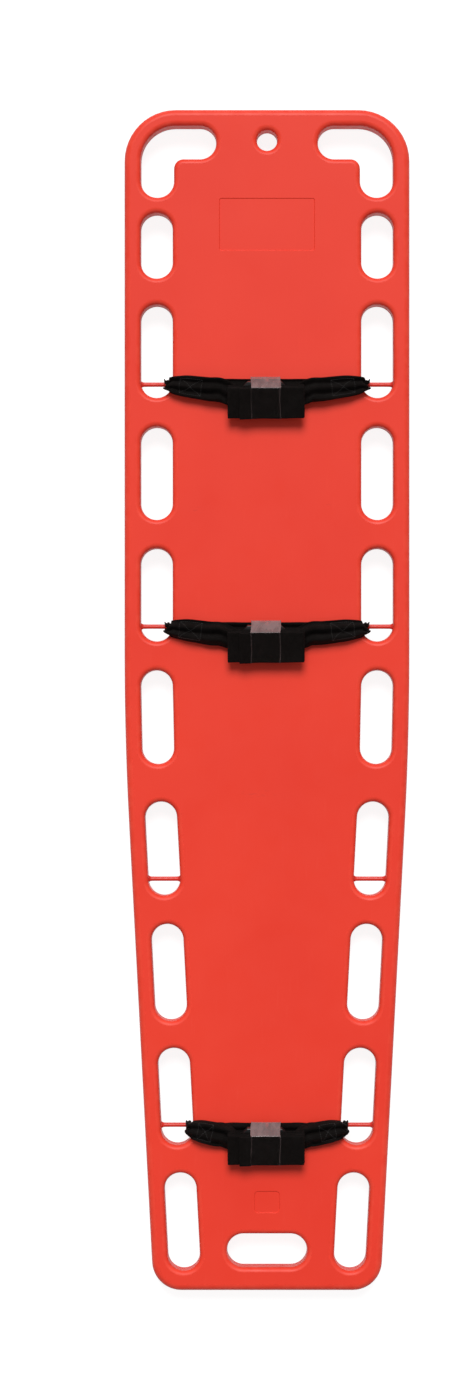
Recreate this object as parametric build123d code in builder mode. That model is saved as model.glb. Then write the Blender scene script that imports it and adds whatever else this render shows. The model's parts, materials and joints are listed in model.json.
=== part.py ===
"""A spine board with its strap pins and three folded straps, lying flat, in millimetres.

The board's long way is Y with the head end at +Y, the patient's face of the board looks up,
and the origin is on the floor under the board's middle. Left is -X and right is +X.
"""

import os
from math import asin, cos, degrees, radians, sin, sqrt, tan

from build123d import *

# Board, seen from above
board_length = 1840.0
board_width = 445.0
foot_half_width = 177.3
taper_corner_y = -57.5
taper_bend_radius = 5050.0
head_corner_radius = 80.0
foot_corner_radius = 46.0

# Board, seen from the side
runner_height = 8.0
skin_depth = 42.0
face_skin = 3.5
edge_skin = 6.0
rim_skin = 5.5
edge_bevel = 7.5
rim_bevel = 5.5

# Hand slots along both sides, in a row from the head to the foot: each one's share of the length that the slots
# have between them, the solid web from it to the next, and the name of its strap pin
slot_width = 49.0
slot_inset = 50.7
slot_head_margin = 162.0
slot_foot_margin = 32.0
slot_row = [
    (7.0, 41.9, None),
    (10.0, 45.7, "chest"),
    (10.0, 45.4, None),
    (10.0, 45.5, "hip"),
    (10.1, 59.1, None),
    (10.1, 45.0, "knee"),
    (10.4, 43.2, None),
    (10.4, 44.2, "ankle"),
    (10.5, 0.0, None),
]

# Corner grips at the head: one bent hole on each side, and how far it reaches from the board's side and head end
grip_rail = 26.4
grip_leg_width = 50.8
grip_side_reach = 143.0
grip_head_reach = 137.0
grip_end_radius = 25.0
grip_inner_radius = 15.0

# Holes on the middle line, and how far each one's middle is from the board's end
head_hole_radius = 15.5
head_hole_inset = 48.5
foot_slot_length = 124.0
foot_slot_width = 51.0
foot_slot_inset = 63.0

# Shallow bare recesses in the face, and how far each one's middle is from the board's end
recess_depth = 1.0
head_recess_length = 148.0
head_recess_width = 81.0
head_recess_inset = 180.0
foot_recess_length = 39.0
foot_recess_width = 33.0
foot_recess_inset = 139.0

# Runners under the board, and how far they stop short of its ends
runner_inset = 170.0
runner_width = 38.0
runner_x = 70.0
runner_draft = 25.0

# Plug of the hole that the foam is poured through
fill_hole_radius = 9.0
fill_hole_inset = 280.0

# Strap pins: how far each is from the foot end of its slot, and the square ends that seat in the skin
pin_inset = {"chest": 21.6, "hip": 23.1, "knee": 25.2, "ankle": 29.0}
pin_diameter = 7.0
pin_seat = 5.0
pin_square = 4.6

# Webbing: its loops round the pins, and the bunched arms that lie on the board
loop_play = 0.5
loop_thickness = 4.5
loop_width = 9.5
loop_wall_gap = 1.5
neck_width = 11.0
neck_drop = 3.0
webbing_thickness = 1.8
gather_width = 32.0
gather_thickness = 9.0
gather_drop = 8.0
gather_rise = 8.0
gather_shift = 5.0
gather_bevel = (8.0, 2.25)
arm_bevel = (4.5, 4.0)
# Cross-sections of an arm, from the pin to the fold: share of its length, width, height, drop behind the pin
arm_sections = [
    (0.0, 13.0, 10.0, 7.5),
    (0.12, 24.0, 14.0, 3.5),
    (0.38, 34.7, 18.0, 6.2),
    (0.72, 37.0, 20.0, 10.7),
    (1.0, 39.0, 20.0, 12.5),
]

# The folded tail on top of the buckle, both leaning on the bunched webbing
fold_length = 117.0
fold_width = 48.0
fold_thickness = 12.0
fold_shift = -2.0
fold_drop = 2.0
fold_bevel = 2.5
lean_angle = 15.0
lean_drop = 25.0
lean_rise = 8.9

# Side-release buckle
buckle_width = 56.0
buckle_thickness = 10.0
buckle_side_wall = 2.6
buckle_face_wall = 2.0
buckle_corner = 6.0
buckle_bevel = 1.2
socket_mouth_x = 8.0
socket_length = 44.0
socket_depth = 30.0
side_window_length = 14.0
side_window_start = 11.0
plug_length = 20.0
prong_length = 27.5
prong_width = 5.0
prong_bevel = 2.0
guide_width = 8.0
guide_length = 22.0
bar_length = 3.6
bar_thickness = 3.0
bar_window_length = 5.6
bar_window_width = 44.0

# Film band round the folded strap
band_length = 46.0
band_thickness = 0.8
band_play = 0.4

# Gaps
seat_gap = 0.3
fit_gap = 0.1
pin_gap = 0.05
slide_gap = 0.35
fold_gap = 0.8
meet_gap = 1.5
join = 2.0

# Worked out from the sizes above
skin_bottom = runner_height
face_height = runner_height + skin_depth
pin_height = runner_height + skin_depth / 2
half_width = board_width / 2
half_length = board_length / 2
head_hole_y = half_length - head_hole_inset
head_recess_y = half_length - head_recess_inset
foot_recess_y = foot_recess_inset - half_length
foot_slot_y = foot_slot_inset - half_length
fill_hole_y = fill_hole_inset - half_length
taper = asin((half_width - foot_half_width) / (half_length + taper_corner_y))
bend_start_y = taper_corner_y + taper_bend_radius * tan(taper / 2)
bend_end_y = bend_start_y - taper_bend_radius * sin(taper)
pin_radius = pin_diameter / 2
loop_radius = pin_radius + loop_play + loop_thickness
fold_start_x = fold_shift - fold_length / 2
fold_end_x = fold_shift + fold_length / 2

os.makedirs("parts", exist_ok=True)


def keep(piece: BuildPart, name: str) -> None:
    """Label a finished piece and write it."""
    piece.part.label = name
    export_step(piece.part, f"parts/{name}.step")


def edge_at(y: float) -> tuple[float, float]:
    """Half width of the board at y, and how much its edge leans there."""
    if y >= bend_start_y:
        return half_width, 0.0
    if y > bend_end_y:
        lean = asin((bend_start_y - y) / taper_bend_radius)
        return half_width - taper_bend_radius * (1 - cos(lean)), lean
    return half_width - (taper_corner_y - y) * tan(taper), taper


def slot_places() -> list[tuple[float, float, str | None]]:
    """Middle, length and pin name of each side slot, head end first."""
    shares = sum(share for share, _, _ in slot_row)
    webs = sum(web for _, web, _ in slot_row)
    unit = (board_length - slot_head_margin - slot_foot_margin - webs) / shares
    places = []
    start = half_length - slot_head_margin
    for share, web, name in slot_row:
        places.append((start - share * unit / 2, share * unit, name))
        start -= share * unit + web
    return places


def slot_middle(y: float) -> tuple[float, float]:
    """Distance of a side slot's middle from the middle line, and the slot's lean."""
    edge, lean = edge_at(y)
    return edge - slot_inset / cos(lean), lean


def pin_station(y: float, length: float, inset: float) -> dict[str, float]:
    """Where a slot's pin lies, and how far the slot reaches to either side of it: at its walls, clear, and at a loop."""
    x, lean = slot_middle(y)
    half = slot_width / 2
    drop = length / 2 - inset
    reach = {}
    for name, radius in (("free", pin_radius), ("loop", loop_radius)):
        into_end = max(0.0, half + radius - inset)
        reach[name] = sqrt(half**2 - into_end**2) / cos(lean) - radius * tan(lean) - fit_gap
    return {"y": y - drop, "x": x - drop * tan(lean), "wall": half / cos(lean), **reach}


def outline(inset: float) -> Sketch:
    """The board's outline, moved inwards by inset."""
    head = half_width - inset
    foot = foot_half_width - inset
    top = half_length - inset
    right = [(head, top), (head, taper_corner_y), (foot, -top)]
    left = [(-x, y) for x, y in reversed(right)]
    radii = [head_corner_radius - inset, taper_bend_radius, foot_corner_radius - inset]
    with BuildSketch() as plan:
        with BuildLine():
            FilletPolyline(*right, *left, radius=radii + radii[::-1], close=True)
        make_face()
    return plan.sketch


def grip_corners(side: int, grow: float) -> list[tuple[float, float]]:
    """Corners of one bent head grip, grown by grow on every side."""
    outer_x = half_width - grip_rail + grow
    outer_y = half_length - grip_rail + grow
    inner_x = half_width - grip_rail - grip_leg_width - grow
    inner_y = half_length - grip_rail - grip_leg_width - grow
    end_x = half_width - grip_side_reach - grow
    end_y = half_length - grip_head_reach - grow
    return [
        (side * outer_x, outer_y),
        (side * end_x, outer_y),
        (side * end_x, inner_y),
        (side * inner_x, inner_y),
        (side * inner_x, end_y),
        (side * outer_x, end_y),
    ]


side_slots = slot_places()


def through_holes() -> Sketch:
    """Every hole that goes through the board, with its round ends."""
    end = grip_end_radius
    grip_radii = [head_corner_radius - grip_rail, end, end, grip_inner_radius, end, end]
    with BuildSketch() as holes:
        for y, length, _ in side_slots:
            x, lean = slot_middle(y)
            for side in (1, -1):
                with Locations((side * x, y)):
                    SlotOverall(length, slot_width, rotation=90 - side * degrees(lean))
        for side in (1, -1):
            with BuildLine():
                FilletPolyline(*grip_corners(side, 0.0), radius=grip_radii, close=True)
            make_face()
        with Locations((0, head_hole_y)):
            Circle(head_hole_radius)
        with Locations((0, foot_slot_y)):
            SlotOverall(foot_slot_length, foot_slot_width)
    return holes.sketch


def bay(gap: float) -> Sketch:
    """Plan of the hollow inside the skin, which keeps a straight wall round every hole, made smaller by gap."""
    wall = rim_skin + gap
    with BuildSketch() as plan:
        add(outline(edge_skin + gap))
        for y, length, _ in side_slots:
            x, lean = slot_middle(y)
            for side in (1, -1):
                with Locations((side * x, y)):
                    Rectangle(
                        slot_width + 2 * wall,
                        length + 2 * wall,
                        rotation=-side * degrees(lean),
                        mode=Mode.SUBTRACT,
                    )
        for side in (1, -1):
            with BuildLine():
                Polyline(*grip_corners(side, wall), close=True)
            make_face(mode=Mode.SUBTRACT)
        with Locations((0, head_hole_y)):
            RegularPolygon(head_hole_radius + wall, 8, major_radius=False, mode=Mode.SUBTRACT)
        with Locations((0, foot_slot_y)):
            Rectangle(foot_slot_length + 2 * wall, foot_slot_width + 2 * wall, mode=Mode.SUBTRACT)
    return plan.sketch


stations = {
    name: pin_station(y, length, pin_inset[name]) for y, length, name in side_slots if name is not None
}

# The board's hollow skin, with its holes, recesses, runners and pin seats
with BuildPart() as board_shell:
    with BuildSketch(Plane.XY.offset(skin_bottom)):
        add(outline(0.0))
        add(through_holes(), mode=Mode.SUBTRACT)
    extrude(amount=skin_depth)
    face = board_shell.faces().sort_by(Axis.Z)[-1]
    underside = board_shell.faces().sort_by(Axis.Z)[0]
    chamfer(face.outer_wire().edges() + underside.outer_wire().edges(), edge_bevel)
    face = board_shell.faces().sort_by(Axis.Z)[-1]
    underside = board_shell.faces().sort_by(Axis.Z)[0]
    rims = face.inner_wires() + underside.inner_wires()
    chamfer([edge for wire in rims for edge in wire.edges()], rim_bevel)
    with BuildSketch(Plane.XY.offset(face_height)):
        with Locations((0, head_recess_y)):
            Rectangle(head_recess_length, head_recess_width)
        with Locations((0, foot_recess_y)):
            Rectangle(foot_recess_length, foot_recess_width)
    extrude(amount=-recess_depth, mode=Mode.SUBTRACT)
    with BuildSketch(Plane.XY.offset(skin_bottom)):
        with Locations((runner_x, 0), (-runner_x, 0)):
            Rectangle(runner_width, board_length - 2 * runner_inset)
    extrude(amount=-runner_height, taper=runner_draft)
    with BuildSketch(Plane.XY.offset(skin_bottom + face_skin)):
        add(bay(0.0))
    extrude(amount=skin_depth - 2 * face_skin, mode=Mode.SUBTRACT)
    with BuildSketch(Plane.XY.offset(skin_bottom)):
        with Locations((0, fill_hole_y)):
            Circle(fill_hole_radius)
    extrude(amount=face_skin, mode=Mode.SUBTRACT)
    for station in stations.values():
        for side in (1, -1):
            with BuildSketch(Plane.YZ.offset(side * station["x"])):
                with Locations((station["y"], pin_height)):
                    Rectangle(pin_square + 2 * pin_gap, pin_square + 2 * pin_gap)
            extrude(amount=station["wall"] + rim_skin, both=True, mode=Mode.SUBTRACT)
keep(board_shell, "board_shell")

# The rigid foam that fills the skin
with BuildPart() as foam_core:
    with BuildSketch(Plane.XY.offset(skin_bottom + face_skin + fit_gap)):
        add(bay(fit_gap))
    extrude(amount=skin_depth - 2 * face_skin - 2 * fit_gap)
keep(foam_core, "foam_core")

# The plug that closes the filling hole, flush with the underside
with BuildPart() as fill_plug:
    with BuildSketch(Plane.XY.offset(skin_bottom)):
        with Locations((0, fill_hole_y)):
            Circle(fill_hole_radius - pin_gap)
    extrude(amount=face_skin)
keep(fill_plug, "fill_plug")

# The strap pins: a round rod across the slot, with a square end in the skin on either side
for name, station in stations.items():
    for side, side_name in ((1, "right"), (-1, "left")):
        with BuildPart() as strap_pin:
            with BuildSketch(Plane.YZ.offset(side * station["x"])):
                with Locations((station["y"], pin_height)):
                    Circle(pin_radius)
            extrude(amount=station["free"], both=True)
            with BuildSketch(Plane.YZ.offset(side * station["x"])):
                with Locations((station["y"], pin_height)):
                    Rectangle(pin_square, pin_square)
            extrude(amount=station["wall"] + pin_seat, both=True)
        keep(strap_pin, f"{name}_pin_{side_name}")


def bunch(width: float, height: float, bevel: tuple[float, float], turn: float = 0.0) -> Polygon:
    """Cross-section of bunched webbing: a flat oval with eight corners."""
    far_y, far_z = width / 2, height / 2
    near_y, near_z = far_y - bevel[0], far_z - bevel[1]
    quarter = [(far_y, near_z), (near_y, far_z)]
    half = quarter + [(-y, z) for y, z in quarter[::-1]]
    return Polygon(*half, *[(-y, -z) for y, z in half], rotation=turn, align=None)


def lean_point(y: float, across: float, up: float) -> Vector:
    """A point of the leaning buckle and fold: across its slope, and up from its underside."""
    lean = radians(lean_angle)
    return Vector(
        0,
        y - lean_drop + across * cos(lean) - up * sin(lean),
        face_height + lean_rise + across * sin(lean) + up * cos(lean),
    )


def lean_plane(y: float, up: float) -> Plane:
    """Plane along the slope of the buckle and fold, up from its underside."""
    normal = lean_point(y, 0.0, 1.0) - lean_point(y, 0.0, 0.0)
    return Plane(lean_point(y, 0.0, up), x_dir=(1, 0, 0), z_dir=normal)


def lean_section(y: float, across: float) -> Plane:
    """Upright plane along the strap, square to the slope, at mid-height of the buckle."""
    normal = lean_point(y, -1.0, 0.0) - lean_point(y, 0.0, 0.0)
    return Plane(lean_point(y, across, buckle_thickness / 2), x_dir=(1, 0, 0), z_dir=normal)


def webbing(station: dict[str, float], side: int, start_x: float, bar_x: float) -> Part:
    """One half of a strap: loop on the pin, neck, bunched arm, gathered end and the turn round the buckle's bar."""
    y = station["y"]
    loop_x = station["x"] - station["loop"] + loop_wall_gap + loop_width / 2
    tip_x = loop_x + loop_width / 2
    neck_top = face_height + seat_gap + arm_sections[0][2] / 2
    neck_foot = pin_height + loop_radius - join
    turn_x = bar_x - bar_length / 2 - loop_play - webbing_thickness
    end_x = start_x + join
    with BuildPart() as piece:
        with BuildSketch(Plane.YZ.offset(side * loop_x)):
            with Locations((y, pin_height)):
                RegularPolygon(loop_radius, 8, major_radius=False)
                RegularPolygon(pin_radius + loop_play, 8, major_radius=False, mode=Mode.SUBTRACT)
        extrude(amount=loop_width / 2, both=True)
        with BuildSketch(Plane.XY.offset(neck_foot)):
            with Locations((side * loop_x, y - neck_drop)):
                Rectangle(loop_width, neck_width)
        extrude(amount=neck_top - neck_foot)
        for share, width, height, drop in arm_sections:
            with BuildSketch(Plane.YZ.offset(side * (tip_x + (start_x - tip_x) * share))):
                with Locations((y - drop, face_height + seat_gap + height / 2)):
                    bunch(width, height, arm_bevel)
        loft(ruled=True)
        with BuildSketch(Plane.YZ.offset(side * (end_x + meet_gap) / 2)):
            with Locations((y - gather_drop, face_height + gather_rise)):
                bunch(gather_width, gather_thickness, gather_bevel, lean_angle)
        extrude(amount=(end_x - meet_gap) / 2, both=True)
        with BuildSketch(lean_section(y, gather_shift)):
            with Locations((side * (turn_x + end_x) / 2, 0)):
                Rectangle(end_x - turn_x, bar_thickness + 2 * (loop_play + webbing_thickness))
            with Locations((side * (turn_x + webbing_thickness + start_x) / 2, 0)):
                Rectangle(
                    start_x - turn_x - webbing_thickness,
                    bar_thickness + 2 * loop_play,
                    mode=Mode.SUBTRACT,
                )
        extrude(amount=gather_width / 2, both=True)
    return piece.part


def bar_cuts(bar_x: float, window_x: float, y: float) -> Part:
    """What is cut from a buckle half's end to leave a thin bar for the webbing, with a window behind it."""
    with BuildPart() as cuts:
        for up, depth in (
            (-join, (buckle_thickness - bar_thickness) / 2 + join),
            ((buckle_thickness + bar_thickness) / 2, buckle_thickness),
        ):
            with BuildSketch(lean_plane(y, up)):
                with Locations((bar_x, 0)):
                    Rectangle(bar_length + 2 * join, bar_window_width)
            extrude(amount=depth)
        with BuildSketch(lean_plane(y, -join)):
            with Locations((window_x, 0)):
                Rectangle(bar_window_length, bar_window_width)
        extrude(amount=buckle_thickness + 2 * join)
    return cuts.part


socket_end_x = socket_mouth_x - socket_length
socket_bar_x = socket_end_x + bar_length / 2
socket_window_x = socket_end_x + bar_length + bar_window_length / 2
plug_start_x = socket_mouth_x + slide_gap
plug_end_x = plug_start_x + plug_length
plug_bar_x = plug_end_x - bar_length / 2
plug_window_x = plug_end_x - bar_length - bar_window_length / 2
hollow_width = buckle_width - 2 * buckle_side_wall
hollow_height = buckle_thickness - 2 * buckle_face_wall
prong_y = hollow_width / 2 - slide_gap - prong_width / 2
fold_foot = buckle_thickness + fold_gap
fold_top = fold_foot + fold_thickness

for name in ("chest", "hip", "ankle"):
    station = stations[name]
    y = station["y"]

    # The left half's webbing
    with BuildPart() as left_webbing:
        add(webbing(station, -1, meet_gap - fold_start_x, -socket_bar_x))
    keep(left_webbing, f"{name}_strap_left_webbing")

    # The right half's webbing, with its long tail folded up over the buckle
    with BuildPart() as right_webbing:
        with BuildSketch(lean_plane(y, fold_foot)):
            with Locations((fold_shift, -fold_drop)):
                Rectangle(fold_length, fold_width)
        extrude(amount=fold_thickness)
        chamfer(right_webbing.edges().filter_by(Axis.X), fold_bevel)
        with BuildSketch(lean_plane(y, buckle_thickness / 2)):
            with Locations((fold_end_x - join / 2, gather_shift)):
                Rectangle(join, gather_width)
        extrude(amount=fold_foot + join - buckle_thickness / 2)
        add(webbing(station, 1, fold_end_x - join, plug_bar_x))
    keep(right_webbing, f"{name}_strap_right_webbing")

    # The buckle's socket: a flat sleeve with a window in each side
    with BuildPart() as socket:
        with BuildSketch(lean_plane(y, 0.0)) as socket_plan:
            with Locations((socket_mouth_x - socket_length / 2, 0)):
                Rectangle(socket_length, buckle_width)
            chamfer(socket_plan.vertices().group_by(Axis.X)[0], buckle_corner)
        extrude(amount=buckle_thickness)
        chamfer(socket.edges().filter_by(Axis.X), buckle_bevel)
        with BuildSketch(lean_plane(y, buckle_face_wall)):
            with Locations((socket_mouth_x - socket_depth / 2, 0)):
                Rectangle(socket_depth, hollow_width)
            with Locations((socket_mouth_x - side_window_start - side_window_length / 2, 0)):
                Rectangle(side_window_length, buckle_width)
        extrude(amount=hollow_height, mode=Mode.SUBTRACT)
        add(bar_cuts(socket_bar_x, socket_window_x, y), mode=Mode.SUBTRACT)
    keep(socket, f"{name}_buckle_socket")

    # The buckle's plug: two prongs and a guide that go into the socket
    with BuildPart() as plug:
        with BuildSketch(lean_plane(y, 0.0)) as plug_plan:
            with Locations(((plug_start_x + plug_end_x) / 2, 0)):
                Rectangle(plug_length, buckle_width)
            chamfer(plug_plan.vertices().group_by(Axis.X)[-1], buckle_corner)
        extrude(amount=buckle_thickness)
        chamfer(plug.edges().filter_by(Axis.X), buckle_bevel)
        with BuildSketch(lean_plane(y, buckle_face_wall + slide_gap)) as prong_plan:
            with Locations((plug_start_x - prong_length / 2, prong_y), (plug_start_x - prong_length / 2, -prong_y)):
                Rectangle(prong_length + join, prong_width)
            with Locations((plug_start_x - guide_length / 2, 0)):
                Rectangle(guide_length + join, guide_width)
            chamfer(prong_plan.vertices().group_by(Axis.X)[0], prong_bevel)
        extrude(amount=hollow_height - 2 * slide_gap)
        add(bar_cuts(plug_bar_x, plug_window_x, y), mode=Mode.SUBTRACT)
    keep(plug, f"{name}_buckle_plug")

    # The clear band round the folded strap
    band_foot = face_height + seat_gap + band_thickness
    gather_head_y = y - gather_drop + gather_width / 2 + 2 * band_play
    gather_z = face_height + gather_rise
    corners = [
        lean_point(y, -buckle_width / 2 - band_play, fold_foot),
        lean_point(y, -fold_drop - fold_width / 2 - band_play, fold_top + band_play),
        lean_point(y, -fold_drop + fold_width / 2 + band_play, fold_top + band_play),
        lean_point(y, buckle_width / 2 + band_play, fold_foot),
    ]
    band_path = [(point.Y, point.Z) for point in corners]
    band_path += [
        (gather_head_y, gather_z + gather_thickness),
        (gather_head_y, gather_z),
        (gather_head_y - gather_thickness, band_foot),
        (lean_point(y, -buckle_width / 2 - band_play, 0.0).Y, band_foot),
    ]
    with BuildPart() as keeper_band:
        with BuildSketch(Plane.YZ.offset(fold_shift)):
            Polygon(*band_path, align=None)
            offset(amount=band_thickness, kind=Kind.INTERSECTION)
            Polygon(*band_path, align=None, mode=Mode.SUBTRACT)
        extrude(amount=band_length / 2, both=True)
    keep(keeper_band, f"{name}_keeper_band")
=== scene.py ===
"""The looks of a spine board: its moulded skin, strap pins, folded straps with buckles, and a plain studio.

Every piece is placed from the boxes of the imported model. Sizes are millimetres unless a name says otherwise,
and they become metres where a mesh is made. The board's long way is Y with the head at +Y, and its face looks
up.
"""

import json
import logging
import math
from collections.abc import Sequence
from dataclasses import dataclass, field
from enum import Enum

import bmesh
import bpy
import numpy as np
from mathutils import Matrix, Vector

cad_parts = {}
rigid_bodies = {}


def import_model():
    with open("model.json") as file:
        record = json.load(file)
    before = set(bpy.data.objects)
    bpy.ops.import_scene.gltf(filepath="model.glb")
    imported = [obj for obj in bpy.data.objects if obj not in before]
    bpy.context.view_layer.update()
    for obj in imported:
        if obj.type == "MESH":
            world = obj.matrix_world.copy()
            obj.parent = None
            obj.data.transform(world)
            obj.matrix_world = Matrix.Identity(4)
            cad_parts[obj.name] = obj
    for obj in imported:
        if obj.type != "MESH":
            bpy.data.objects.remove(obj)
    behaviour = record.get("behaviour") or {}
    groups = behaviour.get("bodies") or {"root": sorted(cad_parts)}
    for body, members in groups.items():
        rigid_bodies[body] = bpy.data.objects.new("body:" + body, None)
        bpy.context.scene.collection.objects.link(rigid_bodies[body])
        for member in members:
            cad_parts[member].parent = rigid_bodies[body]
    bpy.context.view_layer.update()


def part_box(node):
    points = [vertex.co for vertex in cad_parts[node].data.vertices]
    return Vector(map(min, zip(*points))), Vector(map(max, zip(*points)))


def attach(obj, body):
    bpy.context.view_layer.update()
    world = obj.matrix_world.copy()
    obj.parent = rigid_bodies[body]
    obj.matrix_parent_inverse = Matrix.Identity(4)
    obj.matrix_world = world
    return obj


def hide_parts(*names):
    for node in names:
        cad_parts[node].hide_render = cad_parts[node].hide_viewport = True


LOG = logging.getLogger("spine_board")
MM = 0.001

Point = tuple[float, float]
Colour = tuple[float, float, float, float]
Socket = bpy.types.NodeSocket
Value = float | Colour | Socket


class Side(Enum):
    """The two sides of the board, with the sign of X on each."""

    LEFT = -1
    RIGHT = 1

    @property
    def word(self) -> str:
        """The side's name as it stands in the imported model's node names."""
        return self.name.lower()


class Turn(Enum):
    """Which way a flat fill looks."""

    UP = 1
    DOWN = -1


def srgb(red: int, green: int, blue: int) -> Colour:
    """Turn a colour as a picture writes it into the linear values that a shader takes.

    Args:
        red: Red from 0 to 255.
        green: Green from 0 to 255.
        blue: Blue from 0 to 255.

    Returns:
        The linear colour with full alpha.
    """
    linear = []
    for part in (red, green, blue):
        share = part / 255
        linear.append(share / 12.92 if share <= 0.04045 else ((share + 0.055) / 1.055) ** 2.4)
    return (linear[0], linear[1], linear[2], 1.0)


def ease(value: float, start: float, end: float) -> float:
    """Rise smoothly from 0 at start to 1 at end."""
    share = min(1.0, max(0.0, (value - start) / (end - start)))
    return share * share * (3 - 2 * share)


def face_outwards(mesh: bpy.types.Mesh) -> None:
    """Turn every face of a closed mesh to look outwards."""
    work = bmesh.new()
    work.from_mesh(mesh)
    bmesh.ops.recalc_face_normals(work, faces=work.faces[:])
    work.to_mesh(mesh)
    work.free()


def soften(piece: bpy.types.Object, width: float) -> None:
    """Round a piece's sharp edges by a bevel of the given width."""
    soft = piece.modifiers.new("soft_edges", "BEVEL")
    soft.width = width * MM
    soft.segments = 2
    soft.limit_method = "ANGLE"


class Graph:
    """A material's node tree with short ways to add its nodes and join them."""

    def __init__(self, name: str) -> None:
        """Make a new material with its shader."""
        self.material = bpy.data.materials.new(name)
        self.material.use_nodes = True
        self.tree = self.material.node_tree
        self.shader = self.tree.nodes["Principled BSDF"]

    def node(self, kind: str, inputs: dict[str | int, Value], **settings: object) -> bpy.types.Node:
        """Add a node, set it up and join its inputs.

        Args:
            kind: The node's type, without its ShaderNode prefix.
            inputs: Each input's name or number, with a value or a socket to join.
            **settings: The node's own options.

        Returns:
            The node.
        """
        made = self.tree.nodes.new("ShaderNode" + kind)
        for name, value in settings.items():
            setattr(made, name, value)
        for key, value in inputs.items():
            self.feed(made.inputs[key], value)
        return made

    def feed(self, target: Socket, value: Value) -> None:
        """Give an input a value, or join a socket to it."""
        if isinstance(value, Socket):
            self.tree.links.new(value, target)
        else:
            target.default_value = value

    def place(self) -> Socket:
        """The point on the object, in its own metres."""
        return self.node("TexCoord", {}).outputs["Object"]

    def named(self, attribute: str, output: str = "Fac") -> Socket:
        """A value that the mesh carries at its points."""
        return self.node("Attribute", {}, attribute_name=attribute).outputs[output]

    def stretched(self, scale: tuple[float, float, float], turn_deg: float = 0.0) -> Socket:
        """The point on the object, turned about Z and stretched, for streaky noise."""
        turn = (0.0, 0.0, math.radians(turn_deg))
        inputs = {"Vector": self.place(), "Rotation": turn, "Scale": scale}
        return self.node("Mapping", inputs).outputs["Vector"]

    def noise(self, scale: float, vector: Socket, detail: float = 2.0) -> Socket:
        """Soft noise from 0 to 1, with scale waves to the metre."""
        return self.node("TexNoise", {"Vector": vector, "Scale": scale, "Detail": detail}).outputs["Fac"]

    def level(
        self, value: Value, low: float, high: float, to_low: float = 0.0, to_high: float = 1.0
    ) -> Socket:
        """Stretch part of a value to a new range, and clamp it.

        Args:
            value: The value.
            low: Where the part starts.
            high: Where it ends.
            to_low: What its start becomes.
            to_high: What its end becomes.

        Returns:
            The stretched value.
        """
        inputs = {"Value": value, "From Min": low, "From Max": high, "To Min": to_low, "To Max": to_high}
        return self.node("MapRange", inputs).outputs["Result"]

    def math(self, operation: str, first: Value, second: Value = 0.0) -> Socket:
        """Join two values by one sum."""
        return self.node("Math", {0: first, 1: second}, operation=operation).outputs["Value"]

    def mix(self, share: Value, first: Value, second: Value) -> Socket:
        """Blend two colours."""
        made = self.node("Mix", {0: share, 6: first, 7: second}, data_type="RGBA")
        return made.outputs[2]

    def bump(self, height: Socket, depth_mm: float, under: Socket | None = None) -> Socket:
        """Raise the surface by a height from 0 to 1.

        Args:
            height: The height.
            depth_mm: How far the full height stands out.
            under: The normal of a coarser bump below this one.

        Returns:
            The new normal.
        """
        inputs: dict[str | int, Value] = {"Height": height, "Distance": depth_mm * MM, "Strength": 1.0}
        if under is not None:
            inputs["Normal"] = under
        return self.node("Bump", inputs).outputs["Normal"]

    def finish(self, **sockets: Value) -> bpy.types.Material:
        """Feed the shader's sockets, named with underscores for spaces, and return the material."""
        for name, value in sockets.items():
            self.feed(self.shader.inputs[name.replace("_", " ")], value)
        return self.material


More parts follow.
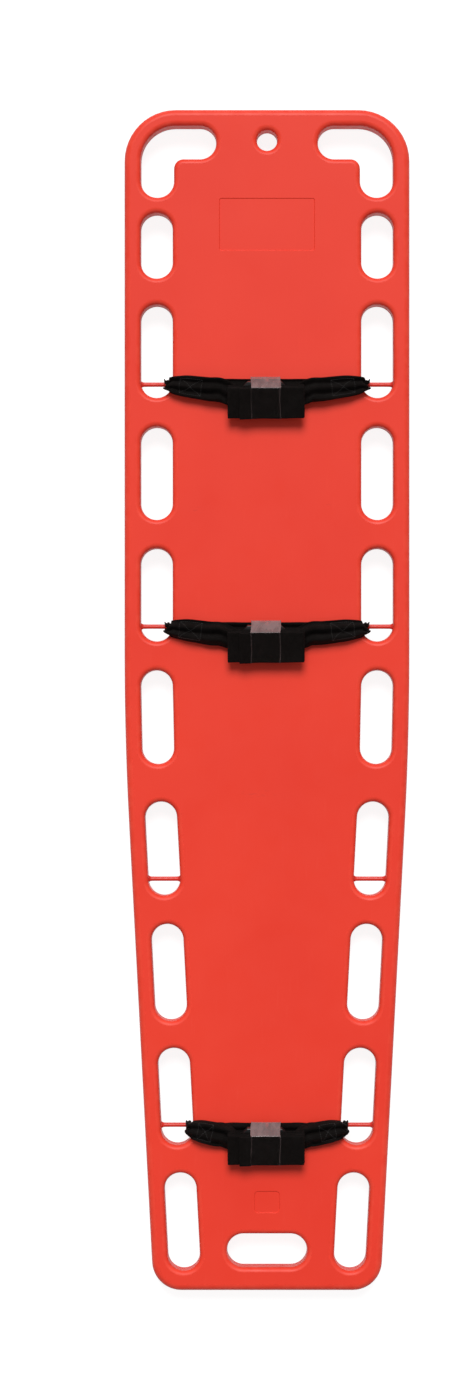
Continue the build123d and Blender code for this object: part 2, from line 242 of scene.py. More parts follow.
@dataclass(frozen=True)
class MouldedSkin:
    """Red polyethylene with a satin moulded surface, faint scuffs, and rims painted paler as a highlight, in
    patches that also read as rubbed wear.
    """

    colour: Colour = srgb(237, 61, 41)
    deep: Colour = srgb(229, 53, 36)
    # Paler tone: the painted highlight on the rims, and also the real pale scratches.
    rubbed: Colour = srgb(246, 84, 64)
    scuff: Colour = srgb(198, 54, 42)
    scuffs: tuple[tuple[float, float, float, float], ...] = (
        (-110.0, 295.0, 16.0, 7.0),
        (94.0, 304.0, 9.0, 6.0),
        (-15.0, -146.0, 34.0, 9.0),
    )

    def scuffed(self, graph: Graph) -> Socket:
        """Mask of the rubbed marks on the face.

        Args:
            graph: The material's node tree.

        Returns:
            A value that is 1 on the marks.
        """
        streaks = graph.level(graph.noise(260.0, graph.stretched((0.35, 1.0, 1.0), 14.0), 4.0), 0.52, 0.66)
        total: Value = 0.0
        for x, y, half_x, half_y in self.scuffs:
            inputs = {
                "Vector": graph.place(),
                "Location": (-x / half_x, -y / half_y, 0.0),
                "Scale": (1 / (half_x * MM), 1 / (half_y * MM), 1.0),
            }
            spot = graph.node("Mapping", inputs).outputs["Vector"]
            ball = graph.node("TexGradient", {"Vector": spot}, gradient_type="SPHERICAL")
            total = graph.math("ADD", total, graph.level(ball.outputs["Fac"], 0.0, 0.6))
        return graph.math("MULTIPLY", total, streaks)

    def material(self) -> bpy.types.Material:
        """Build the finish."""
        graph = Graph("moulded_skin")
        place = graph.place()
        cloud = graph.level(graph.noise(4.5, place, 3.0), 0.35, 0.68)
        base = graph.mix(graph.math("MULTIPLY", cloud, 0.55), self.colour, self.deep)
        # Painted highlight: the rounded rims are made paler, broken into patches like rubbed wear.
        rim = graph.named("rim")
        patchy = graph.level(graph.noise(70.0, place, 3.0), 0.38, 0.72, 0.15, 0.6)
        base = graph.mix(graph.math("MULTIPLY", rim, patchy), base, self.rubbed)
        marks = self.scuffed(graph)
        base = graph.mix(graph.math("MULTIPLY", marks, 0.30), base, self.scuff)
        scratches = graph.level(graph.noise(480.0, graph.stretched((1.0, 0.03, 1.0), 24.0), 1.0), 0.70, 0.76)
        cross = graph.level(graph.noise(430.0, graph.stretched((1.0, 0.04, 1.0), -58.0), 1.0), 0.71, 0.77)
        lines = graph.math("MAXIMUM", scratches, cross)
        base = graph.mix(graph.math("MULTIPLY", lines, 0.10), base, self.rubbed)
        sheen = graph.level(graph.noise(24.0, place, 3.0), 0.3, 0.7, 0.40, 0.50)
        rough = graph.math("ADD", sheen, graph.math("MULTIPLY", graph.math("MAXIMUM", marks, lines), 0.12))
        swell = graph.bump(graph.noise(7.0, place, 1.0), 0.9)
        skin = graph.bump(graph.noise(620.0, place, 2.0), 0.045, swell)
        cut = graph.bump(graph.math("SUBTRACT", 1.0, lines), 0.02, skin)
        return graph.finish(Base_Color=base, Roughness=rough, Normal=cut, Specular_IOR_Level=0.28)


@dataclass(frozen=True)
class PinPlastic:
    """Red plastic rod, a little darker and smoother than the skin, with patchy gloss."""

    colour: Colour = srgb(222, 52, 36)
    dark: Colour = srgb(196, 44, 31)

    def material(self) -> bpy.types.Material:
        """Build the finish."""
        graph = Graph("pin_plastic")
        place = graph.place()
        streak = graph.level(graph.noise(150.0, graph.stretched((0.12, 1.0, 1.0)), 3.0), 0.35, 0.7)
        base = graph.mix(graph.math("MULTIPLY", streak, 0.5), self.colour, self.dark)
        rough = graph.level(graph.noise(240.0, place), 0.3, 0.7, 0.30, 0.42)
        normal = graph.bump(graph.noise(900.0, graph.stretched((0.3, 1.0, 1.0))), 0.03)
        return graph.finish(Base_Color=base, Roughness=rough, Normal=normal, IOR=1.5)


@dataclass(frozen=True)
class PlugPlastic:
    """The filling hole's plug: the skin's plastic in a deeper tone, with fine turning rings."""

    colour: Colour = srgb(205, 52, 38)
    ring: Colour = srgb(186, 44, 33)

    def material(self, centre: Point) -> bpy.types.Material:
        """Build the finish.

        Args:
            centre: X and Y of the plug's middle, in metres.

        Returns:
            The material.
        """
        graph = Graph("plug_plastic")
        shift = {"Vector": graph.place(), "Location": (-centre[0], -centre[1], 0.0)}
        about = graph.node("Mapping", shift).outputs["Vector"]
        inputs = {"Vector": about, "Scale": 420.0, "Distortion": 0.4}
        rings = graph.node("TexWave", inputs, wave_type="RINGS", rings_direction="Z").outputs["Fac"]
        base = graph.mix(graph.math("MULTIPLY", rings, 0.6), self.colour, self.ring)
        return graph.finish(Base_Color=base, Roughness=0.42, Normal=graph.bump(rings, 0.05), IOR=1.5)


@dataclass(frozen=True)
class CoreFoam:
    """Cream rigid foam with small closed cells."""

    colour: Colour = srgb(238, 222, 178)
    cell: Colour = srgb(214, 192, 140)

    def material(self) -> bpy.types.Material:
        """Build the finish."""
        graph = Graph("core_foam")
        place = graph.place()
        cells = graph.node("TexVoronoi", {"Vector": place, "Scale": 700.0}).outputs["Distance"]
        base = graph.mix(graph.level(cells, 0.1, 0.6), self.cell, self.colour)
        return graph.finish(Base_Color=base, Roughness=0.9, Normal=graph.bump(cells, 0.4))


@dataclass(frozen=True)
class WovenBlack:
    """Black webbing: rows of short yarns, each row set half a yarn on, with pale patches painted on as
    highlights on the yarns.
    """

    yarn_length: float = 2.3
    yarn_width: float = 1.15
    yarn: Colour = (0.0034, 0.0022, 0.0017, 1.0)
    pale_yarn: Colour = (0.0070, 0.0050, 0.0044, 1.0)
    groove: Colour = (0.0015, 0.0012, 0.0011, 1.0)
    # Painted highlight: the near-grey tone of the yarns' glints.
    dust: Colour = (0.030, 0.025, 0.024, 1.0)

    def material(self) -> bpy.types.Material:
        """Build the finish."""
        graph = Graph("woven_black")
        weave = graph.named("weave", "Vector")
        inputs = {
            "Vector": weave,
            "Color1": self.yarn,
            "Color2": self.pale_yarn,
            "Mortar": self.groove,
            "Scale": 1.0,
            "Mortar Size": 0.16,
            "Mortar Smooth": 1.0,
            "Brick Width": self.yarn_length,
            "Row Height": self.yarn_width,
        }
        rows = graph.node("TexBrick", inputs, offset=0.5, offset_frequency=2)
        yarns = graph.math("SUBTRACT", 1.0, rows.outputs["Fac"])
        twist = {"Vector": weave, "Scale": 1.6, "Distortion": 1.0}
        fibre = graph.node("TexWave", twist, wave_type="BANDS", bands_direction="DIAGONAL").outputs["Fac"]
        place = graph.place()
        # Painted highlight: pale patches mixed into the yarn colour where two noises overlap.
        highlight_patches = graph.level(graph.noise(42.0, place, 4.0), 0.46, 0.78, 0.0, 0.55)
        fuzz = graph.level(graph.noise(1500.0, place, 2.0), 0.45, 0.75)
        base = graph.mix(graph.math("MULTIPLY", highlight_patches, fuzz), rows.outputs["Color"], self.dust)
        height = graph.math("ADD", yarns, graph.math("MULTIPLY", fibre, 0.25))
        rough = graph.level(fuzz, 0.0, 1.0, 0.62, 0.86)
        return graph.finish(
            Base_Color=base,
            Roughness=rough,
            Normal=graph.bump(height, 0.32),
            Specular_IOR_Level=0.06,
            Sheen_Weight=0.02,
            Sheen_Roughness=0.45,
            Sheen_Tint=(0.9, 0.85, 0.85, 1.0),
        )


@dataclass(frozen=True)
class SewingThread:
    """Black bonded thread, a little shinier than the webbing."""

    colour: Colour = (0.022, 0.020, 0.021, 1.0)
    light: Colour = (0.055, 0.051, 0.052, 1.0)

    def material(self) -> bpy.types.Material:
        """Build the finish."""
        graph = Graph("sewing_thread")
        place = graph.place()
        strands = graph.noise(2600.0, place, 2.0)
        base = graph.mix(graph.level(strands, 0.4, 0.7), self.colour, self.light)
        return graph.finish(Base_Color=base, Roughness=0.45, Normal=graph.bump(strands, 0.08))


@dataclass(frozen=True)
class BucklePlastic:
    """Black acetal with the fine grain of its mould."""

    colour: Colour = (0.011, 0.011, 0.012, 1.0)
    worn: Colour = (0.030, 0.029, 0.030, 1.0)

    def material(self) -> bpy.types.Material:
        """Build the finish."""
        graph = Graph("buckle_plastic")
        place = graph.place()
        grain = graph.node("TexVoronoi", {"Vector": place, "Scale": 1700.0}).outputs["Distance"]
        rubbed = graph.level(graph.noise(90.0, place, 4.0), 0.5, 0.75)
        base = graph.mix(graph.math("MULTIPLY", rubbed, 0.6), self.colour, self.worn)
        rough = graph.level(rubbed, 0.0, 1.0, 0.30, 0.44)
        return graph.finish(Base_Color=base, Roughness=rough, Normal=graph.bump(grain, 0.03), IOR=1.48)


@dataclass(frozen=True)
class ClearFilm:
    """Clear wrapping film with a painted glare, grey and partly opaque where it faces the head side and up
    towards the key light, and milky along its rolled borders.
    """

    colour: Colour = srgb(146, 124, 124)
    dull: Colour = srgb(104, 84, 84)
    clear: float = 0.002
    milky: float = 0.70

    def material(self) -> bpy.types.Material:
        """Build the finish."""
        graph = Graph("clear_film")
        haze = graph.named("haze")
        place = graph.place()
        drape = graph.noise(75.0, graph.stretched((1.0, 0.5, 0.5), 8.0), 2.0)
        patches = graph.level(drape, 0.36, 0.60, 0.72, 1.0)
        # Painted glare: the film turns grey and partly opaque where the glare mask is high.
        alpha = graph.level(graph.math("MULTIPLY", haze, patches), 0.0, 1.0, self.clear, self.milky)
        crinkle = graph.bump(graph.noise(90.0, graph.stretched((0.4, 1.0, 1.0)), 1.0), 0.3)
        rough = graph.level(graph.noise(60.0, place), 0.3, 0.7, 0.12, 0.26)
        tone = graph.mix(patches, self.dull, self.colour)
        made = graph.finish(
            Base_Color=tone, Alpha=alpha, Roughness=rough, Normal=crinkle, Specular_IOR_Level=0.3
        )
        made.surface_render_method = "BLENDED"
        return made


@dataclass(frozen=True)
class RoundLoop:
    """A closed outline with round corners, run anticlockwise, that can be grown or shrunk about itself."""

    corners: tuple[Point, ...]
    radii: tuple[float, ...]
    step_deg: float = 7.5
    longest: float = 40.0

    def sample(self, grow: float = 0.0) -> tuple[np.ndarray, np.ndarray]:
        """Walk round the outline.

        Args:
            grow: How far the outline is moved outwards.

        Returns:
            The points, and at each the direction outwards.
        """
        corners = np.array(self.corners)
        points, outward, plain = [], [], []
        for index, radius in enumerate(self.radii):
            here = corners[index]
            before = here - corners[index - 1]
            after = corners[(index + 1) % len(corners)] - here
            before /= np.linalg.norm(before)
            after /= np.linalg.norm(after)
            turn = math.atan2(before[0] * after[1] - before[1] * after[0], float(before @ after))
            bend = math.copysign(1.0, turn)
            facing = np.array([before[1], -before[0]])
            centre = here - before * radius * math.tan(abs(turn) / 2) - facing * bend * radius
            by_angle = math.ceil(math.degrees(abs(turn)) / self.step_deg)
            by_length = math.ceil(radius * abs(turn) / self.longest)
            parts = max(2, by_angle, by_length)
            for part in range(parts + 1):
                angle = turn * part / parts
                turned = np.array(
                    [
                        facing[0] * math.cos(angle) - facing[1] * math.sin(angle),
                        facing[0] * math.sin(angle) + facing[1] * math.cos(angle),
                    ]
                )
                points.append(centre + turned * (bend * radius + grow))
                plain.append(centre + turned * bend * radius)
                outward.append(turned)
        kept = [i for i in range(len(plain)) if np.linalg.norm(plain[i] - plain[i - 1]) > 0.01]
        return np.array(points)[kept], np.array(outward)[kept]


def box_loop(middle: Point, size: Point, radius: float, lean: float = 0.0) -> RoundLoop:
    """A rectangle with round corners, turned clockwise by lean radians.

    Args:
        middle: X and Y of its middle.
        size: Its width and length.
        radius: Radius of its corners.
        lean: How far it is turned clockwise.

    Returns:
        The outline.
    """
    corners = []
    for across, along in ((1, -1), (1, 1), (-1, 1), (-1, -1)):
        x, y = across * size[0] / 2, along * size[1] / 2
        corners.append(
            (
                middle[0] + x * math.cos(lean) + y * math.sin(lean),
                middle[1] - x * math.sin(lean) + y * math.cos(lean),
            )
        )
    return RoundLoop(tuple(corners), (radius,) * 4)


@dataclass(frozen=True)
class Ring:
    """One level of a moulded wall: how far it is grown, its height, its tilt from looking up, and how much
    paler its rim is painted, a highlight that also reads as wear.
    """

    grow: float
    height: float
    tilt_deg: float
    rim: float = 0.0


class Shell:
    """A closed mesh made of rings round outlines and flat fills between them, with exact normals."""

    def __init__(self) -> None:
        """Start with no points."""
        self.points: list[tuple[float, float, float]] = []
        self.normals: list[tuple[float, float, float]] = []
        self.rims: list[float] = []
        self.faces: list[tuple[int, ...]] = []

    def wall(self, loop: RoundLoop, rings: Sequence[Ring], outside: bool) -> tuple[list[int], list[int]]:
        """Lay rings round an outline and join them.

        Args:
            loop: The outline.
            rings: The levels, in order.
            outside: True where the material is inside the outline, False round a hole.

        Returns:
            The point numbers of the first and of the last ring.
        """
        made = []
        sign = 1.0 if outside else -1.0
        for ring in rings:
            points, outward = loop.sample(ring.grow)
            tilt = math.radians(ring.tilt_deg)
            start = len(self.points)
            for point, way in zip(points, outward):
                self.points.append((point[0], point[1], ring.height))
                flat = way * sign * math.sin(tilt)
                self.normals.append((flat[0], flat[1], math.cos(tilt)))
                self.rims.append(ring.rim)
            made.append(list(range(start, len(self.points))))
        for upper, lower in zip(made, made[1:]):
            count = len(upper)
            for i in range(count):
                j = (i + 1) % count
                self.faces.append((upper[i], lower[i], lower[j], upper[j]))
        return made[0], made[-1]

    def fill(self, loops: Sequence[Sequence[int]], turn: Turn) -> None:
        """Fill a flat region between loops of points, the outer one first.

        Args:
            loops: The point numbers of each loop.
            turn: Which way the fill looks.
        """
        patch = bmesh.new()
        number = {}
        for loop in loops:
            made = [patch.verts.new(self.points[i]) for i in loop]
            number.update(zip(made, loop))
            for first, second in zip(made, made[1:] + made[:1]):
                patch.edges.new((first, second))
        bmesh.ops.triangle_fill(patch, use_beauty=True, edges=patch.edges[:], normal=(0.0, 0.0, 1.0))
        for face in patch.faces:
            corners = [number[corner] for corner in face.verts]
            if face.normal.z * turn.value < 0:
                corners.reverse()
            self.faces.append(tuple(corners))
        patch.free()

    def object(self, name: str, material: bpy.types.Material) -> bpy.types.Object:
        """Make the Blender object.

        Args:
            name: The piece's name.
            material: Its finish.

        Returns:
            The object.
        """
        mesh = bpy.data.meshes.new(name)
        mesh.from_pydata([tuple(c * MM for c in point) for point in self.points], [], self.faces)
        face_outwards(mesh)
        mesh.attributes.new("rim", "FLOAT", "POINT").data.foreach_set("value", self.rims)
        mesh.shade_smooth()
        mesh.normals_split_custom_set_from_vertices(self.normals)
        return show(name, mesh, material)


def show(name: str, mesh: bpy.types.Mesh, material: bpy.types.Material) -> bpy.types.Object:
    """Put a mesh into the scene with its finish."""
    mesh.materials.append(material)
    made = bpy.data.objects.new(name, mesh)
    bpy.context.scene.collection.objects.link(made)
    return made


def report(piece: bpy.types.Object, body: str, slot: str, *stands_for: str) -> None:
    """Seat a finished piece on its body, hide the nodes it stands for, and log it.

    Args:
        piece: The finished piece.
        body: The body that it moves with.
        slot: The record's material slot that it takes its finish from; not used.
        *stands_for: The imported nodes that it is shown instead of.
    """
    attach(piece, body)
    if stands_for:
        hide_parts(*stands_for)
    LOG.info("%s rides on %s, %d points", piece.name, body, len(piece.data.vertices))


@dataclass
class Board:
    """The moulded board: its skin with every hole, recess and runner, its pins, plug and foam core."""

    body: str = "board"
    foot_half_width: float = 177.3
    taper_corner_y: float = -57.5
    taper_radius: float = 5050.0
    head_radius: float = 80.0
    foot_radius: float = 46.0
    runner_height: float = 8.0
    edge_round: float = 10.5
    rim_round: float = 8.0
    wall_draft: float = 0.5
    slot_width: float = 49.0
    slot_inset: float = 50.7
    slot_head_margin: float = 162.0
    slot_foot_margin: float = 32.0
    slot_row: tuple[Point, ...] = (
        (7.0, 41.9),
        (10.0, 45.7),
        (10.0, 45.4),
        (10.0, 45.5),
        (10.1, 59.1),
        (10.1, 45.0),
        (10.4, 43.2),
        (10.4, 44.2),
        (10.5, 0.0),
    )
    grip_rail: float = 26.4
    grip_leg: float = 50.8
    grip_side_reach: float = 143.0
    grip_head_reach: float = 137.0
    grip_end_radius: float = 25.0
    grip_inner_radius: float = 15.0
    head_hole_radius: float = 15.5
    head_hole_inset: float = 48.5
    foot_slot: Point = (124.0, 51.0)
    foot_slot_inset: float = 63.0
    recess_depth: float = 1.0
    head_recess: Point = (148.0, 81.0)
    head_recess_inset: float = 180.0
    foot_recess: Point = (39.0, 33.0)
    foot_recess_inset: float = 139.0
    recess_radius: float = 3.0
    runner_width: float = 38.0
    runner_x: float = 70.0
    runner_inset: float = 170.0
    runner_radius: float = 12.0
    plug_play: float = 0.1
    plug_socket_radius: float = 4.2
    core_softness: float = 2.0
    pin_seat: float = 5.0
    collar_radius: float = 5.4
    collar_length: float = 4.5
    pin_segments: int = 32
    half_width: float = field(init=False)
    half_length: float = field(init=False)
    face_z: float = field(init=False)

    def __post_init__(self) -> None:
        """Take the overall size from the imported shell."""
        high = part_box("board_shell")[1]
        self.half_width = high.x / MM
        self.half_length = high.y / MM
        self.face_z = high.z / MM

    def outline(self) -> RoundLoop:
        """The board's outline from above."""
        top = self.half_length
        right = [
            (self.foot_half_width, -top),
            (self.half_width, self.taper_corner_y),
            (self.half_width, top),
        ]
        left = [(-x, y) for x, y in reversed(right)]
        radii = [self.foot_radius, self.taper_radius, self.head_radius]
        return RoundLoop(tuple(right + left), tuple(radii + radii[::-1]))

    def edge_at(self, y: float) -> Point:
        """Find the board's edge at a height along it.

        Args:
            y: The place along the board.

        Returns:
            The half width there, and how far the edge leans, in radians.
        """
        drop = self.half_length + self.taper_corner_y
        taper = math.asin((self.half_width - self.foot_half_width) / drop)
        start = self.taper_corner_y + self.taper_radius * math.tan(taper / 2)
        end = start - self.taper_radius * math.sin(taper)
        if y >= start:
            return self.half_width, 0.0
        if y > end:
            lean = math.asin((start - y) / self.taper_radius)
            return self.half_width - self.taper_radius * (1 - math.cos(lean)), lean
        return self.half_width - (self.taper_corner_y - y) * math.tan(taper), taper

    def side_slots(self) -> list[RoundLoop]:
        """Every hand slot down both sides."""
        webs = sum(web for _, web in self.slot_row)
        run = 2 * self.half_length - self.slot_head_margin - self.slot_foot_margin - webs
        unit = run / sum(share for share, _ in self.slot_row)
        start = self.half_length - self.slot_head_margin
        loops = []
        for share, web in self.slot_row:
            y = start - share * unit / 2
            edge, lean = self.edge_at(y)
            x = edge - self.slot_inset / math.cos(lean)
            for side in Side:
                size = (self.slot_width, share * unit)
                loops.append(box_loop((side.value * x, y), size, self.slot_width / 2, side.value * lean))
            start -= share * unit + web
        return loops

    def head_grips(self) -> list[RoundLoop]:
        """The two bent grips at the head."""
        outer_x = self.half_width - self.grip_rail
        outer_y = self.half_length - self.grip_rail
        inner_x, inner_y = outer_x - self.grip_leg, outer_y - self.grip_leg
        end_x = self.half_width - self.grip_side_reach
        end_y = self.half_length - self.grip_head_reach
        right = [
            (outer_x, outer_y),
            (end_x, outer_y),
            (end_x, inner_y),
            (inner_x, inner_y),
            (inner_x, end_y),
            (outer_x, end_y),
        ]
        end = self.grip_end_radius
        radii = [self.head_radius - self.grip_rail, end, end, self.grip_inner_radius, end, end]
        left = [(-x, y) for x, y in reversed(right)]
        return [RoundLoop(tuple(right), tuple(radii)), RoundLoop(tuple(left), tuple(reversed(radii)))]

    def through_holes(self) -> list[RoundLoop]:
        """Every hole that goes right through."""
        head_y = self.half_length - self.head_hole_inset
        foot_y = self.foot_slot_inset - self.half_length
        hole = 2 * self.head_hole_radius
        return [
            *self.side_slots(),
            *self.head_grips(),
            box_loop((0.0, head_y), (hole, hole), self.head_hole_radius),
            box_loop((0.0, foot_y), self.foot_slot, self.foot_slot[1] / 2),
        ]

    def wall_rings(self, rounding: float, inwards: float) -> list[Ring]:
        """Levels of a wall from the face to the underside, with round rims and the mould's parting line.

        Args:
            rounding: Radius of the rims.
            inwards: 1 where growing goes into the material, -1 where it goes out of it.

        Returns:
            The levels.
        """
        top, foot = self.face_z, self.runner_height
        middle = (top + foot) / 2
        steps = 7
        upper = []
        for step in range(steps + 1):
            angle = 90 * step / steps
            turned = math.radians(angle)
            grow = rounding * (1 - math.sin(turned)) + self.wall_draft
            height = top - rounding * (1 - math.cos(turned))
            # The rim value paints the fillet paler as a highlight, strongest halfway round it.
            upper.append(Ring(grow, height, angle, math.sin(2 * turned) ** 0.5))
        upper[0] = Ring(rounding + self.wall_draft, top, 0.0)
        upper[-1] = Ring(self.wall_draft, top - rounding, 90.0, 0.25)
        bead = [Ring(0.15, middle + 0.9, 90.0), Ring(0.0, middle + 0.35, 60.0), Ring(0.0, middle, 90.0)]
        down = upper + bead
        lower = []
        for ring in down[-2::-1]:
            lower.append(Ring(ring.grow, top + foot - ring.height, 180 - ring.tilt_deg, ring.rim))
        return [Ring(inwards * ring.grow, ring.height, ring.tilt_deg, ring.rim) for ring in down + lower]

    def recess(self, shell: Shell, loop: RoundLoop) -> list[int]:
        """Sink a shallow flat recess into the face and return its border."""
        deep = self.face_z - self.recess_depth
        rings = [
            Ring(0.7, self.face_z, 0.0),
            Ring(0.35, self.face_z - 0.12, 40.0, 0.3),
            Ring(-0.05, self.face_z - self.recess_depth / 2, 55.0, 0.5),
            Ring(-0.45, deep + 0.12, 40.0),
            Ring(-0.8, deep, 0.0),
        ]
        border, floor = shell.wall(loop, rings, outside=False)
        shell.fill([floor], Turn.UP)
        return border

    def runner(self, shell: Shell, side: Side) -> list[int]:
        """Raise one runner on the underside and return its border."""
        size = (self.runner_width, 2 * (self.half_length - self.runner_inset))
        foot = self.runner_height
        rings = [
            Ring(1.4, foot, 180.0),
            Ring(0.4, foot - 0.35, 150.0),
            Ring(-0.4, foot - 1.5, 118.0),
            Ring(-2.4, 2.4, 115.0, 0.3),
            Ring(-3.2, 0.9, 132.0, 0.9),
            Ring(-4.4, 0.2, 158.0, 0.9),
            Ring(-5.8, 0.0, 180.0, 0.5),
        ]
        loop = box_loop((side.value * self.runner_x, 0.0), size, self.runner_radius)
        border, tread = shell.wall(loop, rings, outside=True)
        shell.fill([tread], Turn.DOWN)
        return border

    def plug_seat(self, shell: Shell) -> list[int]:
        """Sink the filling hole into the underside and return its border."""
        low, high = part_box("fill_plug")
        radius = (high.x - low.x) / MM / 2 + self.plug_play
        middle = ((low.x + high.x) / MM / 2, (low.y + high.y) / MM / 2)
        foot = self.runner_height
        rings = [
            Ring(0.8, foot, 180.0),
            Ring(0.25, foot + 0.2, 140.0, 0.4),
            Ring(0.0, foot + 0.7, 90.0),
            Ring(0.0, high.z / MM + 0.05, 90.0),
        ]
        border, floor = shell.wall(box_loop(middle, (2 * radius, 2 * radius), radius), rings, outside=False)
        shell.fill([floor], Turn.DOWN)
        return border

    def build_skin(self, material: bpy.types.Material) -> None:
        """Mould the whole skin as one closed mesh."""
        shell = Shell()
        upper, lower = [], []
        loops = [(self.outline(), self.edge_round, -1.0, True)]
        loops += [(hole, self.rim_round, 1.0, False) for hole in self.through_holes()]
        for loop, rounding, inwards, outside in loops:
            first, last = shell.wall(loop, self.wall_rings(rounding, inwards), outside)
            upper.append(first)
            lower.append(last)
        head_y = self.half_length - self.head_recess_inset
        foot_y = self.foot_recess_inset - self.half_length
        upper.append(self.recess(shell, box_loop((0.0, head_y), self.head_recess, self.recess_radius)))
        upper.append(self.recess(shell, box_loop((0.0, foot_y), self.foot_recess, 2 * self.recess_radius)))
        lower += [self.runner(shell, side) for side in Side]
        lower.append(self.plug_seat(shell))
        shell.fill(upper, Turn.UP)
        shell.fill(lower, Turn.DOWN)
        report(shell.object("board_skin", material), self.body, "board_plastic", "board_shell")

    def build_pin(self, name: str, material: bpy.types.Material) -> None:
        """Turn one strap pin: a rod with a flared collar where it enters each wall.

        Args:
            name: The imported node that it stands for.
            material: Its finish.
        """
        low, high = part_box(name)
        radius = (high.z - low.z) / MM / 2
        middle = np.array([(low.y + high.y) / MM / 2, (low.z + high.z) / MM / 2])
        start, end = low.x / MM + self.pin_seat, high.x / MM - self.pin_seat
        flare = self.collar_radius - radius
        half = [(-1.4, self.collar_radius), (0.0, self.collar_radius)]
        for step in range(1, 7):
            share = step / 6
            half.append((share * self.collar_length, radius + flare * (1 - math.sin(share * math.pi / 2))))
        profile = [(start + x, r) for x, r in half]
        profile += [(start + (end - start) * share, radius * 0.985) for share in (0.3, 0.5, 0.7)]
        profile += [(end - x, r) for x, r in reversed(half)]
        points, faces = [], []
        count = self.pin_segments
        for x, r in profile:
            for part in range(count):
                angle = math.tau * part / count
                y, z = middle[0] + r * math.cos(angle), middle[1] + r * math.sin(angle)
                points.append((x * MM, y * MM, z * MM))
        for row in range(len(profile) - 1):
            for part in range(count):
                a, b = row * count + part, row * count + (part + 1) % count
                faces.append((a, b, b + count, a + count))
        faces.append(tuple(range(count))[::-1])
        faces.append(tuple(range(len(points) - count, len(points))))
        mesh = bpy.data.meshes.new(name + "_rod")
        mesh.from_pydata(points, [], faces)
        mesh.shade_smooth()
        report(show(name + "_rod", mesh, material), self.body, "pin_plastic", name)

    def build_plug(self) -> None:
        """Make the filling hole's plug: a round button with a six-sided driving socket."""
        low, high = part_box("fill_plug")
        radius = (high.x - low.x) / MM / 2
        middle = ((low.x + high.x) / MM / 2, (low.y + high.y) / MM / 2)
        bottom, top = low.z / MM, high.z / MM
        shell = Shell()
        circle = box_loop(middle, (2 * radius, 2 * radius), radius)
        rim = [
            Ring(-1.0, bottom, 180.0),
            Ring(-0.3, bottom + 0.25, 135.0, 0.5),
            Ring(0.0, bottom + 0.9, 90.0),
            Ring(0.0, top, 90.0),
            Ring(-1.0, top, 0.0),
        ]
        face, back = shell.wall(circle, rim, outside=True)
        corners = []
        for corner in range(6):
            angle = math.tau * corner / 6
            x = middle[0] + self.plug_socket_radius * math.cos(angle)
            corners.append((x, middle[1] + self.plug_socket_radius * math.sin(angle)))
        socket_loop = RoundLoop(tuple(corners), (0.4,) * 6, step_deg=20.0)
        mouth, floor = shell.wall(
            socket_loop,
            [Ring(0.4, bottom, 180.0), Ring(0.0, bottom + 0.4, 90.0), Ring(0.0, bottom + 2.2, 90.0)],
            outside=False,
        )
        shell.fill([face, mouth], Turn.DOWN)
        shell.fill([floor], Turn.DOWN)
        shell.fill([back], Turn.UP)
        material = PlugPlastic().material((middle[0] * MM, middle[1] * MM))
        report(shell.object("fill_plug_button", material), self.body, "plug_plastic", "fill_plug")

    def dress_core(self) -> None:
        """Give the foam core, which the skin hides, its finish."""
        core = bpy.data.objects["foam_core"]
        core.data.materials.clear()
        core.data.materials.append(CoreFoam().material())
        soften(core, self.core_softness)
        LOG.info("foam_core dressed")

    def build(self) -> None:
        """Build every piece of the board."""
        self.build_skin(MouldedSkin().material())
        pin_material = PinPlastic().material()
        for station in ("chest", "hip", "knee", "ankle"):
            for side in Side:
                self.build_pin(f"{station}_pin_{side.word}", pin_material)
        self.build_plug()
        self.dress_core()


@dataclass(frozen=True)
class Place:
    """One place along the webbing: where its middle is, which way its width lies, how it is bunched."""

    at: tuple[float, float, float]
    across: tuple[float, float, float]
    span: float
    depth: float
    waves: float = 2.5
    phase: float = 0.0

    def row(self) -> list[float]:
        """The values as one row."""
        return [*self.at, *self.across, self.span, self.depth, self.waves, self.phase]


